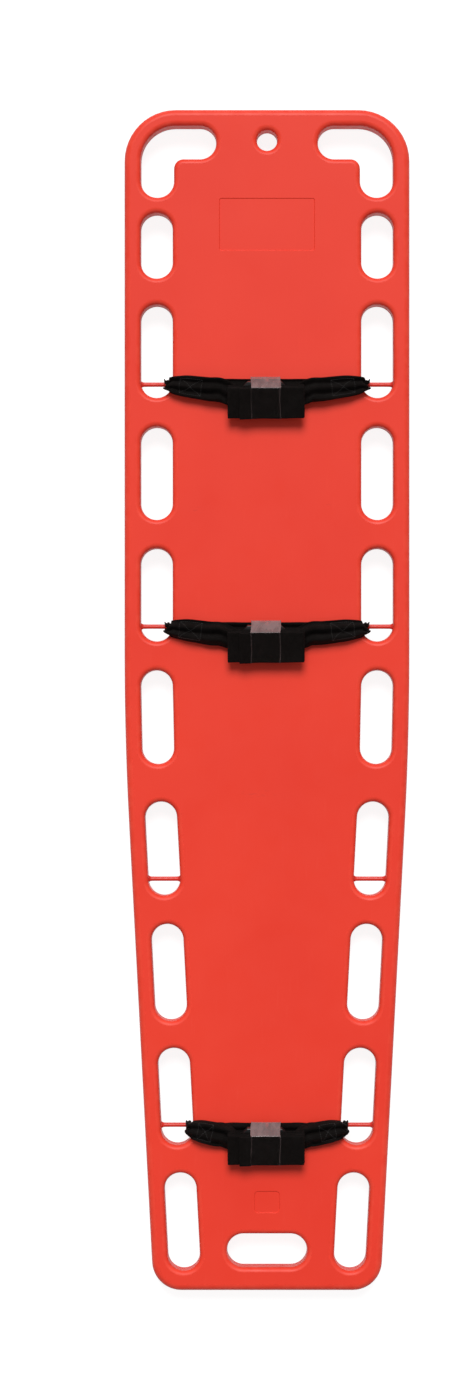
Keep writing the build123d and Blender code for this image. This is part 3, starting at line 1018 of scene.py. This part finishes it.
class Strip:
    """A strip of webbing as one closed sheet that follows a list of places, pleated across its width."""

    width: float = 48.0
    thickness: float = 1.5
    columns: int = 37

    def __init__(self, places: np.ndarray, mirror: bool) -> None:
        """Work out the sheet's middle surface.

        Args:
            places: One row for each place, as Place.row gives it.
            mirror: True for a strip on the left, which is the right one mirrored.
        """
        at, across = places[:, 0:3].copy(), places[:, 3:6].copy()
        if mirror:
            at[:, 0] *= -1
            across[:, 0] *= -1
        along = np.gradient(at, axis=0)
        along /= np.linalg.norm(along, axis=1)[:, None]
        across -= (across * along).sum(1)[:, None] * along
        across /= np.linalg.norm(across, axis=1)[:, None]
        normal = np.cross(along, across)
        if mirror:
            normal = -normal
        steps = np.linalg.norm(np.diff(at, axis=0), axis=1)
        self.lengths = np.concatenate([[0.0], np.cumsum(steps)])
        self.shares = self.column_shares()
        span, depth, waves, phase = (places[:, 6 + i][:, None] for i in range(4))
        share = self.shares[None, :]
        run = self.lengths[:, None]
        drift = 0.35 * np.sin(run / 27.0 + 1.3) + 0.2 * np.sin(run / 11.0)
        curl = np.abs(2 * share - 1) ** 5
        lift = depth * (0.5 * np.cos(math.tau * waves * share + phase + drift) - 0.35 * curl)
        lift += 0.06 * depth * np.sin(9.0 * share + run / 6.0)
        side = (share - 0.5) * span * (1 + 0.012 * np.sin(run / 9.0))
        sideways = across[:, None, :] * side[..., None]
        self.middle = at[:, None, :] + sideways + normal[:, None, :] * lift[..., None]
        down = np.gradient(self.middle, axis=0)
        over = np.gradient(self.middle, axis=1)
        facing = np.cross(down, over)
        if mirror:
            facing = -facing
        self.facing = facing / np.maximum(np.linalg.norm(facing, axis=2), 1e-9)[..., None]

    def column_shares(self) -> np.ndarray:
        """Shares of the width at which the sheet has a column, closer at its two edges."""
        inner = np.linspace(0.045, 0.955, self.columns - 4)
        return np.concatenate([[0.0, 0.016], inner, [0.984, 1.0]])

    def half_thickness(self) -> np.ndarray:
        """Half the webbing's thickness at each column, with its round edges."""
        edge = np.minimum(self.shares, 1 - self.shares) * self.width
        return self.thickness / 2 * np.sqrt(np.clip(0.12 + edge / 1.1, 0.0, 1.0))

    def length(self) -> float:
        """Length of the strip along its middle."""
        return float(self.lengths[-1])

    def mesh(self, name: str) -> bpy.types.Mesh:
        """Thicken the sheet into a closed mesh that carries its weave's place at each point."""
        half = self.half_thickness()[None, :, None]
        sheets = [self.middle + self.facing * half, self.middle - self.facing * half]
        rows, columns = self.middle.shape[:2]
        points = np.concatenate([sheet.reshape(-1, 3) for sheet in sheets]) * MM
        weave = np.zeros((rows, columns, 3))
        weave[..., 0] = self.lengths[:, None]
        weave[..., 1] = self.shares[None, :] * self.width
        under = rows * columns
        index = np.arange(rows * columns).reshape(rows, columns)
        corner = [index[:-1, :-1], index[1:, :-1], index[1:, 1:], index[:-1, 1:]]
        top = np.stack(corner, axis=-1).reshape(-1, 4)
        bottom = top[:, ::-1] + under
        edges = [index[:, 0][::-1], index[:, -1], index[0, :], index[-1, :][::-1]]
        sides = []
        for edge in edges:
            sides.append(np.stack([edge[:-1], edge[1:], edge[1:] + under, edge[:-1] + under], axis=-1))
        faces = np.concatenate([top, bottom, *sides])
        mesh = bpy.data.meshes.new(name)
        mesh.from_pydata(points.tolist(), [], faces.tolist())
        face_outwards(mesh)
        both = np.concatenate([weave.reshape(-1, 3)] * 2)
        mesh.attributes.new("weave", "FLOAT_VECTOR", "POINT").data.foreach_set("vector", both.ravel())
        mesh.shade_smooth()
        return mesh

    def spot(self, run: float, across: float, above: bool) -> tuple[np.ndarray, np.ndarray]:
        """Find a point on the webbing's surface.

        Args:
            run: How far along the strip.
            across: How far across it, from one edge.
            above: True for the side that faces up in the upper layer.

        Returns:
            The point and the direction out of the surface.
        """
        row = float(np.interp(run, self.lengths, np.arange(len(self.lengths))))
        column = float(np.interp(across / self.width, self.shares, np.arange(len(self.shares))))
        i, j = min(int(row), len(self.lengths) - 2), min(int(column), len(self.shares) - 2)
        u, v = row - i, column - j

        def blend(grid: np.ndarray) -> np.ndarray:
            """Blend the four grid values round the spot."""
            first = grid[i, j] * (1 - v) + grid[i, j + 1] * v
            second = grid[i + 1, j] * (1 - v) + grid[i + 1, j + 1] * v
            return first * (1 - u) + second * u

        out = blend(self.facing)
        out /= np.linalg.norm(out)
        if not above:
            out = -out
        return blend(self.middle) + out * self.thickness / 2, out


@dataclass
class Seam:
    """Rows of stitches on a strip, each stitch a short bowed bead of thread."""

    strip: Strip
    above: bool = True
    stitch: float = 3.0
    cover: float = 0.72
    radius: float = 0.34
    sections: int = 5
    sides: int = 6
    points: list[np.ndarray] = field(default_factory=list)
    faces: list[tuple[int, ...]] = field(default_factory=list)

    def row(self, start: Point, end: Point) -> None:
        """Sew one straight row between two spots, each given along and across the strip."""
        first, last = np.array(start), np.array(end)
        count = max(1, round(float(np.linalg.norm(last - first)) / self.stitch))
        for number in range(count):
            middle = first + (last - first) * (number + 0.5) / count
            half = (last - first) / count * self.cover / 2
            self.bead(middle - half, middle + half)

    def bead(self, start: np.ndarray, end: np.ndarray) -> None:
        """Make one stitch between two spots."""
        centres, outs = [], []
        for section in range(self.sections):
            share = section / (self.sections - 1)
            spot = start + (end - start) * share
            at, out = self.strip.spot(float(spot[0]), float(spot[1]), self.above)
            centres.append(at + out * self.radius * (1.5 * math.sin(math.pi * share) - 0.55))
            outs.append(out)
        along = centres[-1] - centres[0]
        along /= np.linalg.norm(along)
        base = len(self.points)
        for section, (centre, out) in enumerate(zip(centres, outs)):
            over = np.cross(along, out)
            over /= np.linalg.norm(over)
            thick = self.radius * (0.55 + 0.45 * math.sin(math.pi * section / (self.sections - 1)))
            for part in range(self.sides):
                angle = math.tau * part / self.sides
                self.points.append(centre + (out * math.cos(angle) + over * math.sin(angle)) * thick)
        for section in range(self.sections - 1):
            for part in range(self.sides):
                a = base + section * self.sides + part
                b = base + section * self.sides + (part + 1) % self.sides
                self.faces.append((a, b, b + self.sides, a + self.sides))
        self.faces.append(tuple(range(base, base + self.sides))[::-1])
        last = base + (self.sections - 1) * self.sides
        self.faces.append(tuple(range(last, last + self.sides)))

    def box(self, start: float, end: float, margin: float = 6.0) -> None:
        """Sew a box with a cross in it over a stretch of the strip."""
        low, high = margin, self.strip.width - margin
        corners = [(start, low), (end, low), (end, high), (start, high)]
        for first, second in zip(corners, corners[1:] + corners[:1]):
            self.row(first, second)
        self.row(corners[0], corners[2])
        self.row(corners[1], corners[3])

    def object(self, name: str, material: bpy.types.Material) -> bpy.types.Object:
        """Make the Blender object of all the stitches."""
        mesh = bpy.data.meshes.new(name)
        mesh.from_pydata([tuple(point * MM) for point in self.points], [], self.faces)
        mesh.shade_smooth()
        return show(name, mesh, material)


def flow(keys: Sequence[Place], spacing: float = 2.6) -> np.ndarray:
    """Run a smooth line through places.

    Args:
        keys: The places to pass through.
        spacing: About how far apart the rows of the result are.

    Returns:
        One row for each place on the line.
    """
    rows = np.array([key.row() for key in keys])
    ends = np.concatenate([[2 * rows[0] - rows[1]], rows, [2 * rows[-1] - rows[-2]]])
    made = []
    for i in range(1, len(ends) - 2):
        before, start, end, after = ends[i - 1 : i + 3]
        count = max(1, round(float(np.linalg.norm(end[:3] - start[:3])) / spacing))
        reach = np.linalg.norm(end[:3] - start[:3])
        pull_in = (end - before) * reach / max(np.linalg.norm(end[:3] - before[:3]), 1e-6)
        pull_out = (after - start) * reach / max(np.linalg.norm(after[:3] - start[:3]), 1e-6)
        for step in range(count):
            t = step / count
            made.append(
                (2 * t**3 - 3 * t**2 + 1) * start
                + (t**3 - 2 * t**2 + t) * pull_in
                + (3 * t**2 - 2 * t**3) * end
                + (t**3 - t**2) * pull_out
            )
    made.append(rows[-1])
    return np.array(made)


def tail_start(rows: np.ndarray, x: float, gap: float = 3.0) -> int:
    """Number of the first tail row that lies more than a gap to the left of x."""
    return next(number for number, row in enumerate(rows) if row[0] < x - gap)


@dataclass(frozen=True)
class Finishes:
    """The materials that the straps share."""

    webbing: bpy.types.Material
    thread: bpy.types.Material
    buckle: bpy.types.Material
    film: bpy.types.Material


@dataclass
class Strap:
    """One two-piece strap, stowed: two bunched arms, the buckle, the folded tail and its film band."""

    name: str
    finishes: Finishes
    tempo: float = 0.0
    loop_half: float = 4.75
    pin_clear: float = 2.0
    arm_foot: float = 1.6
    arm_sections: tuple[tuple[float, float, float, float], ...] = (
        (0.12, 25.0, 14.0, 4.0),
        (0.25, 31.0, 16.5, 5.0),
        (0.38, 35.0, 18.0, 6.2),
        (0.55, 36.5, 19.0, 8.4),
        (0.72, 37.5, 20.0, 10.7),
        (0.88, 38.0, 20.0, 11.8),
    )
    fold_length: float = 117.0
    fold_width: float = 48.0
    fold_shift: float = -2.0
    fold_drop: float = 2.0
    fold_foot: float = 10.8
    layers: int = 7
    layer_pitch: float = 1.68
    loose_pitch: float = 0.22
    fan: float = 0.55
    skews: tuple[float, ...] = (0.4, -0.7, 0.6, -0.9, 0.8, -0.4, 0.9, -0.2)
    uneven: tuple[float, ...] = (0.0, -1.2, 1.4, -2.2, 0.6, -0.8, 1.0)
    tail_end_x: float = -41.0
    hem: float = 16.0
    lean_deg: float = 15.0
    lean_drop: float = 25.0
    lean_rise: float = 8.9
    buckle_width: float = 56.0
    buckle_thickness: float = 10.0
    buckle_softness: float = 0.35
    socket_bar_x: float = 34.2
    plug_bar_x: float = 26.55
    turn_radius: float = 2.9
    gather_shift: float = 5.0
    band_length: float = 46.0
    band_foot: float = 1.3
    band_play: float = 0.5
    band_thickness: float = 0.22
    pin_y: float = field(init=False)
    pin_z: float = field(init=False)
    face_z: float = field(init=False)

    def __post_init__(self) -> None:
        """Take the pin's place and the face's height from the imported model."""
        low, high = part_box(f"{self.name}_pin_right")
        self.pin_y = (low.y + high.y) / MM / 2
        self.pin_z = (low.z + high.z) / MM / 2
        self.face_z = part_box("board_shell")[1].z / MM

    def slope(self, x: float, across: float, up: float) -> tuple[float, float, float]:
        """A point of the leaning buckle and fold, from its place along, across and above the slope."""
        lean = math.radians(self.lean_deg)
        return (
            x,
            self.pin_y - self.lean_drop + across * math.cos(lean) - up * math.sin(lean),
            self.face_z + self.lean_rise + across * math.sin(lean) + up * math.cos(lean),
        )

    def width_way(self, sign: float, share: float = 1.0) -> tuple[float, float, float]:
        """Direction of the webbing's width where it leans by a share of the full slope."""
        lean = math.radians(self.lean_deg * share)
        return (0.0, sign * math.cos(lean), sign * math.sin(lean))

    def tip_x(self, side: Side) -> float:
        """How far out the strap reaches on a side."""
        low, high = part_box(f"{self.name}_strap_{side.word}_webbing")
        return (high.x if side is Side.RIGHT else -low.x) / MM

    def arm_start(self, side: Side) -> float:
        """How far out the arm leaves the fold on a side."""
        return self.fold_length / 2 + side.value * self.fold_shift

    def arm_places(self, side: Side, upper: bool) -> list[Place]:
        """Places of one layer of an arm, from the pin to the fold.

        Args:
            side: The side of the board.
            upper: True for the layer on top.

        Returns:
            The places, nearest the pin first.
        """
        tip, start = self.tip_x(side), self.arm_start(side)
        places = []
        for share, width, height, drop in self.arm_sections:
            x = tip + (start - tip) * share
            wobble = math.sin(5.0 * share + self.tempo + side.value)
            if upper:
                z = self.face_z + self.arm_foot + height * 0.70 + 0.5 * wobble
                across = (0.0, -1.0, -0.10 * wobble)
                at = (x, self.pin_y - drop, z)
                places.append(Place(at, across, width * 0.97, height * 0.40, 2.2, self.tempo))
            else:
                z = self.face_z + self.arm_foot + height * 0.25
                across = (0.0, 1.0, 0.06 * wobble)
                shift = 0.8 * math.sin(3 * share + 2 * self.tempo)
                at = (x, self.pin_y - drop + shift, z)
                places.append(Place(at, across, width * 0.93, height * 0.34, 2.6, 2.0 + self.tempo))
        return places

    def loop_places(self, side: Side) -> list[Place]:
        """Places of the bunched loop that goes down into the slot, round the pin and up again."""
        x = self.tip_x(side) - self.loop_half
        y, z, top = self.pin_y, self.pin_z, self.face_z
        radius = 3.5 + self.pin_clear
        narrow = 2 * self.loop_half - 1.2
        down = [
            Place((x - 1.6, y - 1.5, top + 1.8), (0.55, 0.83, 0.0), 12.5, 3.6, 1.5),
            Place((x - 0.2, y + 3.6, top - 6.0), (0.95, 0.3, 0.0), 9.4, 2.8, 1.5),
            Place((x, y + radius - 0.6, z + 7.0), (1.0, 0.0, 0.0), narrow, 2.2, 1.5),
        ]
        turn = []
        for step in range(7):
            angle = -math.pi * step / 6
            at = (x, y + radius * math.cos(angle), z + radius * math.sin(angle))
            turn.append(Place(at, (1.0, 0.0, 0.0), narrow, 1.6, 1.5))
        up = [
            Place((x, y - radius, z + 7.0), (1.0, 0.0, 0.0), narrow, 2.2, 1.5),
            Place((x - 0.2, y - 6.4, top - 5.0), (0.97, -0.22, 0.0), 10.0, 3.6, 2.0),
            Place((x - 0.6, y - 6.0, top + 4.0), (0.78, -0.62, 0.0), 12.5, 5.0, 2.0, 0.5 * self.tempo),
            Place((x - 5.0, y - 5.0, top + 8.6), (0.34, -0.94, 0.0), 18.0, 5.6, 2.1, self.tempo),
        ]
        return down + turn + up

    def bar_places(self, side: Side) -> list[Place]:
        """Places of the stretch that goes in under the buckle's bar, round it and out again over it."""
        start = self.arm_start(side)
        bar = self.plug_bar_x if side is Side.RIGHT else self.socket_bar_x
        mid = self.buckle_thickness / 2
        low = mid - self.turn_radius
        shift = self.gather_shift
        gathered, leaning = self.width_way(-1.0, 0.8), self.width_way(-1.0)
        places = [
            Place(self.slope(start - 7.0, shift + 1.0, low + 0.6), gathered, 33.5, 3.0, 2.0, self.tempo),
            Place(self.slope(bar + 9.0, shift, low + 0.1), leaning, 31.0, 1.1, 2.0),
            Place(self.slope(bar + 3.0, shift, low), leaning, 30.5, 0.5, 2.0),
        ]
        for step in range(7):
            angle = -math.pi / 2 - math.pi * step / 6
            x = bar - 1.0 + self.turn_radius * math.cos(angle)
            up = mid + self.turn_radius * math.sin(angle)
            places.append(Place(self.slope(x, shift, up), leaning, 30.5, 0.2, 2.0))
        places.append(Place(self.slope(bar + 5.0, shift, mid + self.turn_radius), leaning, 31.0, 0.4, 2.0))
        return places

    def lower_places(self, side: Side) -> list[Place]:
        """Places of the sewn end under the buckle, from the middle of the board out to the fold's end."""
        start = self.arm_start(side)
        y, top = self.pin_y, self.face_z
        across, outer = self.width_way(1.0, 0.6), self.width_way(1.0, 0.4)
        return [
            Place((2.2, y - 9.0, top + 4.6), across, 30.0, 2.6, 2.6, self.tempo),
            Place((start * 0.45, y - 9.4, top + 4.8), across, 31.0, 3.2, 2.6, 1.0 + self.tempo),
            Place((start - 8.0, y - 10.0, top + 5.0), outer, 33.0, 4.4, 2.6, 1.6 + self.tempo),
        ]

    def layer_up(self, layer: float, x: float) -> float:
        """Height of a folded layer above the slope's foot: tight at the band and looser at the ends."""
        loose = self.loose_pitch * ease(abs(x - self.fold_shift), self.band_length / 2, self.fold_length / 2)
        return self.fold_foot + Strip.thickness / 2 + 0.08 + layer * (self.layer_pitch + loose)

    def drift(self, line: int) -> float:
        """How far across the slope a fold line lies, counted from the tail's first one."""
        return self.skews[line] - self.fold_drop - self.fan * (line - self.layers / 2)

    def layer_place(self, layer: float, x: float, across: float) -> Place:
        """Find one place on a folded layer.

        Args:
            layer: The layer's number; one between two whole numbers lies in the turn that joins them.
            x: The place along the fold.
            across: The place across the slope.

        Returns:
            The place.
        """
        bow = 0.3 * ease(abs(x - self.fold_shift), self.band_length / 2, self.fold_length / 2)
        depth = bow * math.cos(math.pi * layer)
        at = self.slope(x, across, self.layer_up(layer, x))
        return Place(at, self.width_way(-1.0), self.fold_width, depth, 0.5, -math.pi / 2)

    def fold_rows(self) -> np.ndarray:
        """Rows of the whole folded tail, from the buckle's bar up to its hemmed end."""
        right = self.fold_shift + self.fold_length / 2 - 1.2
        left = self.fold_shift - self.fold_length / 2 + 1.2
        rows = []
        for layer in range(self.layers):
            heading = -1.0 if layer % 2 == 0 else 1.0
            begin, end = (right, left) if heading < 0 else (left, right)
            begin += heading * 0.6 * self.uneven[layer - 1] if layer else 0.0
            end -= heading * 0.6 * self.uneven[layer]
            if layer == self.layers - 1:
                end = self.tail_end_x
            first, last = self.drift(layer), self.drift(layer + 1)
            for share in np.linspace(0.0, 1.0, 20):
                x = begin + (end - begin) * float(share)
                rows.append(self.layer_place(layer, x, first + (last - first) * float(share)).row())
            radius = (self.layer_up(layer + 1, end) - self.layer_up(layer, end)) / 2
            stop = layer == self.layers - 1
            for step in range(1, 6):
                angle = math.pi * step / 6
                raised = (1 - math.cos(angle)) / 2
                place = self.layer_place(layer + raised, end, last)
                if stop:
                    place = self.hem_place(layer, end, raised)
                at = (place.at[0] + heading * radius * 1.15 * math.sin(angle), place.at[1], place.at[2])
                rows.append(Place(at, place.across, place.span, place.depth, place.waves, place.phase).row())
        for share in np.linspace(0.0, 1.0, 6):
            x = self.tail_end_x + self.hem * float(share)
            rows.append(self.hem_place(self.layers - 1, x, 1.0).row())
        return np.array(rows)

    def hem_place(self, layer: int, x: float, raised: float) -> Place:
        """One place on the hem at the tail's end, which is turned back over the top layer."""
        below = self.layer_place(layer, x, self.drift(layer + 1))
        at = self.slope(x, 0.0, raised * (Strip.thickness + 0.12))
        foot = self.slope(x, 0.0, 0.0)
        lifted = tuple(b + a - f for b, a, f in zip(below.at, at, foot))
        return Place(lifted, below.across, below.span, below.depth, below.waves, below.phase)

    def webbing_rows(self, side: Side) -> np.ndarray:
        """Rows of one whole half of the strap, from its sewn end under the buckle to its other end.

        Args:
            side: The side of the board.

        Returns:
            One row for each place.
        """
        keys = [
            *self.lower_places(side),
            *reversed(self.arm_places(side, upper=False)),
            *self.loop_places(side),
            *self.arm_places(side, upper=True),
            *self.bar_places(side),
        ]
        if side is Side.LEFT:
            end_x = self.arm_start(side) - 4.0
            mid = self.buckle_thickness / 2 + self.turn_radius
            at = self.slope(end_x, self.gather_shift, mid)
            keys.append(Place(at, self.width_way(-1.0), 33.0, 0.8, 2.0))
            return flow(keys)
        rise = self.buckle_thickness / 2 + self.turn_radius
        end_x = self.fold_shift + self.fold_length / 2
        first = self.layer_place(0.0, end_x - 6.0, self.drift(0))
        keys.append(Place(self.slope(end_x - 9.0, 2.0, rise + 0.2), self.width_way(-1.0), 42.0, 0.6, 1.0))
        keys.append(Place(self.slope(end_x - 2.0, 0.0, rise + 1.0), self.width_way(-1.0), 47.0, 0.4, 0.5))
        flat = (self.width_way(-1.0), self.fold_width, 0.3, 0.5, -math.pi / 2)
        keys.append(Place(self.slope(end_x - 0.2, self.drift(0), rise + 2.2), *flat))
        keys.append(Place(self.slope(end_x - 2.2, self.drift(0), self.layer_up(0.0, end_x)), *flat))
        keys.append(first)
        before = flow(keys)
        tail = self.fold_rows()
        return np.concatenate([before, tail[tail_start(tail, first.at[0]) :]])

    def build_half(self, side: Side) -> None:
        """Make one half's webbing with its stitching, and seat it on its body."""
        body = f"{self.name}_strap_{side.word}"
        node = f"{self.name}_strap_{side.word}_webbing"
        strip = Strip(self.webbing_rows(side), mirror=side is Side.LEFT)
        piece = show(f"{body}_ribbon", strip.mesh(f"{body}_ribbon"), self.finishes.webbing)
        seam = Seam(strip)
        arm_length = self.tip_x(side) - self.arm_start(side)
        loop_run = self.arm_start(side) + arm_length + 62.0
        seam.box(loop_run + 22.0, loop_run + 22.0 + 0.34 * arm_length)
        if side is Side.RIGHT:
            end = strip.length()
            for gap in (4.0, 12.0):
                seam.row((end - gap, 4.0), (end - gap, strip.width - 4.0))
        stitches = seam.object(f"{body}_stitching", self.finishes.thread)
        report(piece, body, "webbing", node)
        report(stitches, body, "webbing")

    def dress_buckle(self) -> None:
        """Give the buckle's two packed halves their finish, with softened edges."""
        for part in ("socket", "plug"):
            half = bpy.data.objects[f"{self.name}_buckle_{part}"]
            half.data.materials.clear()
            half.data.materials.append(self.finishes.buckle)
            soften(half, self.buckle_softness)
            LOG.info("%s dressed", half.name)

    def band_outline(self) -> RoundLoop:
        """The film's path round the fold, buckle and webbing, in Y and Z."""
        half = self.buckle_width / 2 + self.band_play
        top = self.layer_up(self.layers - 1, self.fold_shift) + Strip.thickness / 2 + self.band_play
        reach = self.fold_width / 2 + self.band_play
        spread = self.fan * self.layers / 2
        corners = [
            (self.slope(0.0, -half - 0.8, 0.0)[1], self.face_z + self.band_foot),
            (self.pin_y + 4.5, self.face_z + self.band_foot),
            (self.pin_y + 9.0, self.face_z + 5.5),
            (self.pin_y + 8.6, self.face_z + 15.0),
            self.slope(0.0, reach - self.fold_drop - spread + 0.6, top + 0.5)[1:],
            self.slope(0.0, -reach - self.fold_drop - spread, top)[1:],
            self.slope(0.0, -half - 1.6, self.fold_foot - 1.0)[1:],
        ]
        return RoundLoop(tuple(corners), (1.2, 4.0, 3.0, 4.0, 3.2, 1.6, 2.0), step_deg=9.0, longest=4.0)

    def build_band(self) -> None:
        """Wrap the clear film round the fold, with rolled borders and a few pulled creases."""
        points, outward = self.fine_outline()
        count = len(points)
        low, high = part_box(f"{self.name}_keeper_band")
        middle = (low.x + high.x) / MM / 2
        rolled = np.array([0.94, 0.965, 0.985, 1.0])
        stations = np.concatenate([-rolled[::-1], np.linspace(-0.88, 0.88, 25), rolled])
        verts, haze = [], []
        for layer in (1.0, 0.0):
            for share in stations:
                border = ease(abs(share), 0.93, 0.97)
                for i, (point, way) in enumerate(zip(points, outward)):
                    run = i / count
                    wrinkle = math.sin(40 * run + 5 * share + self.tempo)
                    crease = 0.16 * wrinkle * math.sin(9 * share + 13 * run)
                    pull = 0.3 * border * (0.6 + 0.4 * math.sin(26 * run + self.tempo))
                    thick = layer * self.band_thickness * (1 + 1.6 * border) + max(0.0, crease) * 0.8
                    out = thick + pull * layer
                    sway = 0.7 * math.sin(8 * math.pi * run + self.tempo) * abs(share)
                    x = middle + share * self.band_length / 2 + sway
                    verts.append((x * MM, (point[0] + way[0] * out) * MM, (point[1] + way[1] * out) * MM))
                    # Painted glare: the mask is high where the film faces the head side and up, towards the
                    # key light, with a little more along the rolled borders.
                    facing = ease(way[0], 0.15, 0.55) * ease(way[1], 0.1, 0.5)
                    haze.append(min(1.0, facing + 0.12 * border))
        rows = len(stations)
        faces = []
        for layer in range(2):
            base = layer * rows * count
            for row in range(rows - 1):
                here, after = base + row * count, base + (row + 1) * count
                for i in range(count):
                    j = (i + 1) % count
                    quad = (here + i, here + j, after + j, after + i)
                    faces.append(quad if layer else quad[::-1])
        under = rows * count
        for row in (0, rows - 1):
            for i in range(count):
                j = (i + 1) % count
                a, b = row * count + i, row * count + j
                faces.append((a, b, b + under, a + under))
        mesh = bpy.data.meshes.new(f"{self.name}_film_band")
        mesh.from_pydata(verts, [], faces)
        face_outwards(mesh)
        mesh.attributes.new("haze", "FLOAT", "POINT").data.foreach_set("value", haze)
        mesh.shade_smooth()
        band = show(f"{self.name}_film_band", mesh, self.finishes.film)
        report(band, f"{self.name}_strap_right", "clear_film", f"{self.name}_keeper_band")

    def fine_outline(self) -> tuple[np.ndarray, np.ndarray]:
        """The film's path with points also along its straight runs, and the direction outwards at each."""
        points, outward = self.band_outline().sample()
        fine, ways = [], []
        for i in range(len(points)):
            j = (i + 1) % len(points)
            parts = max(1, round(float(np.linalg.norm(points[j] - points[i])) / 2.2))
            for part in range(parts):
                share = part / parts
                fine.append(points[i] * (1 - share) + points[j] * share)
                way = outward[i] * (1 - share) + outward[j] * share
                ways.append(way / np.linalg.norm(way))
        return np.array(fine), np.array(ways)

    def build(self) -> None:
        """Build every piece of the strap."""
        for side in Side:
            self.build_half(side)
        self.dress_buckle()
        self.build_band()


@dataclass
class Studio:
    """A pale floor, soft light from the head side and a camera straight above the board."""

    camera_height_m: float = 4.95
    sensor_mm: float = 36.0
    lens_mm: float = 81.0
    frame_pixels: Point = (457.0, 1400.0)
    board_pixel_x: float = 267.0
    floor_half_m: float = 7.0
    floor_tone: float = 0.30
    floor_glow: float = 0.88
    floor_gap_m: float = 0.0005
    ambient: float = 0.32
    key_strength: float = 2.6
    key_tilt_deg: float = 36.0
    key_spread_deg: float = 30.0

    def build_camera(self) -> None:
        """Hang the camera over the board, shifted sideways as the photograph is framed."""
        data = bpy.data.cameras.new("camera")
        data.sensor_width = self.sensor_mm
        data.lens = self.lens_mm
        data.shift_x = (self.frame_pixels[0] / 2 - self.board_pixel_x) / self.frame_pixels[1]
        data.clip_end = 40.0
        camera = bpy.data.objects.new("camera", data)
        camera.location = (0.0, 0.0, self.camera_height_m)
        bpy.context.scene.collection.objects.link(camera)
        bpy.context.scene.camera = camera

    def seen(self, graph: Graph) -> Socket:
        """A value that is 1 for rays that show the background: straight, mirrored or through glass."""
        path = graph.node("LightPath", {})
        seen = graph.math("MAXIMUM", path.outputs["Is Camera Ray"], path.outputs["Is Glossy Ray"])
        return graph.math("MAXIMUM", seen, path.outputs["Is Transmission Ray"])

    def build_floor(self) -> None:
        """Lay the floor: pale to look at, but dim to the light that it throws back."""
        half = self.floor_half_m
        mesh = bpy.data.meshes.new("floor")
        corners = [(-half, -half), (half, -half), (half, half), (-half, half)]
        mesh.from_pydata([(x, y, -self.floor_gap_m) for x, y in corners], [], [(0, 1, 2, 3)])
        graph = Graph("floor")
        tone = (self.floor_tone, self.floor_tone, self.floor_tone, 1.0)
        glow = graph.math("MULTIPLY", self.seen(graph), self.floor_glow)
        material = graph.finish(
            Base_Color=tone,
            Roughness=1.0,
            Specular_IOR_Level=0.0,
            Emission_Color=(1.0, 1.0, 1.0, 1.0),
            Emission_Strength=glow,
        )
        show("floor", mesh, material)

    def build_world(self) -> None:
        """Surround the scene with white that lights it softly."""
        world = bpy.data.worlds.new("world")
        world.use_nodes = True
        tree = world.node_tree
        path = tree.nodes.new("ShaderNodeLightPath")
        most = tree.nodes.new("ShaderNodeMath")
        most.operation = "MAXIMUM"
        tree.links.new(path.outputs["Is Camera Ray"], most.inputs[0])
        tree.links.new(path.outputs["Is Transmission Ray"], most.inputs[1])
        strength = tree.nodes.new("ShaderNodeMapRange")
        strength.inputs["To Min"].default_value = self.ambient
        strength.inputs["To Max"].default_value = 1.0
        tree.links.new(most.outputs["Value"], strength.inputs["Value"])
        tree.links.new(strength.outputs["Result"], tree.nodes["Background"].inputs["Strength"])
        tree.nodes["Background"].inputs["Color"].default_value = (1.0, 1.0, 1.0, 1.0)
        bpy.context.scene.world = world

    def build_key(self) -> None:
        """Shine a soft key light down from the head side."""
        data = bpy.data.lights.new("key", "SUN")
        data.energy = self.key_strength
        data.angle = math.radians(self.key_spread_deg)
        key = bpy.data.objects.new("key", data)
        key.rotation_euler = (math.radians(-self.key_tilt_deg), 0.0, 0.0)
        bpy.context.scene.collection.objects.link(key)

    def build(self) -> None:
        """Build the camera, floor, surroundings and light."""
        self.build_camera()
        self.build_floor()
        self.build_world()
        self.build_key()
        bpy.context.scene.view_settings.view_transform = "Standard"


def main() -> None:
    """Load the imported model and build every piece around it."""
    logging.basicConfig(level=logging.INFO, format="%(name)s: %(message)s")
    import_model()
    Studio().build()
    Board().build()
    finishes = Finishes(
        webbing=WovenBlack().material(),
        thread=SewingThread().material(),
        buckle=BucklePlastic().material(),
        film=ClearFilm().material(),
    )
    for number, name in enumerate(("chest", "hip", "ankle")):
        Strap(name, finishes, tempo=1.9 * number).build()
    bpy.context.view_layer.update()


if __name__ == "__main__":
    main()
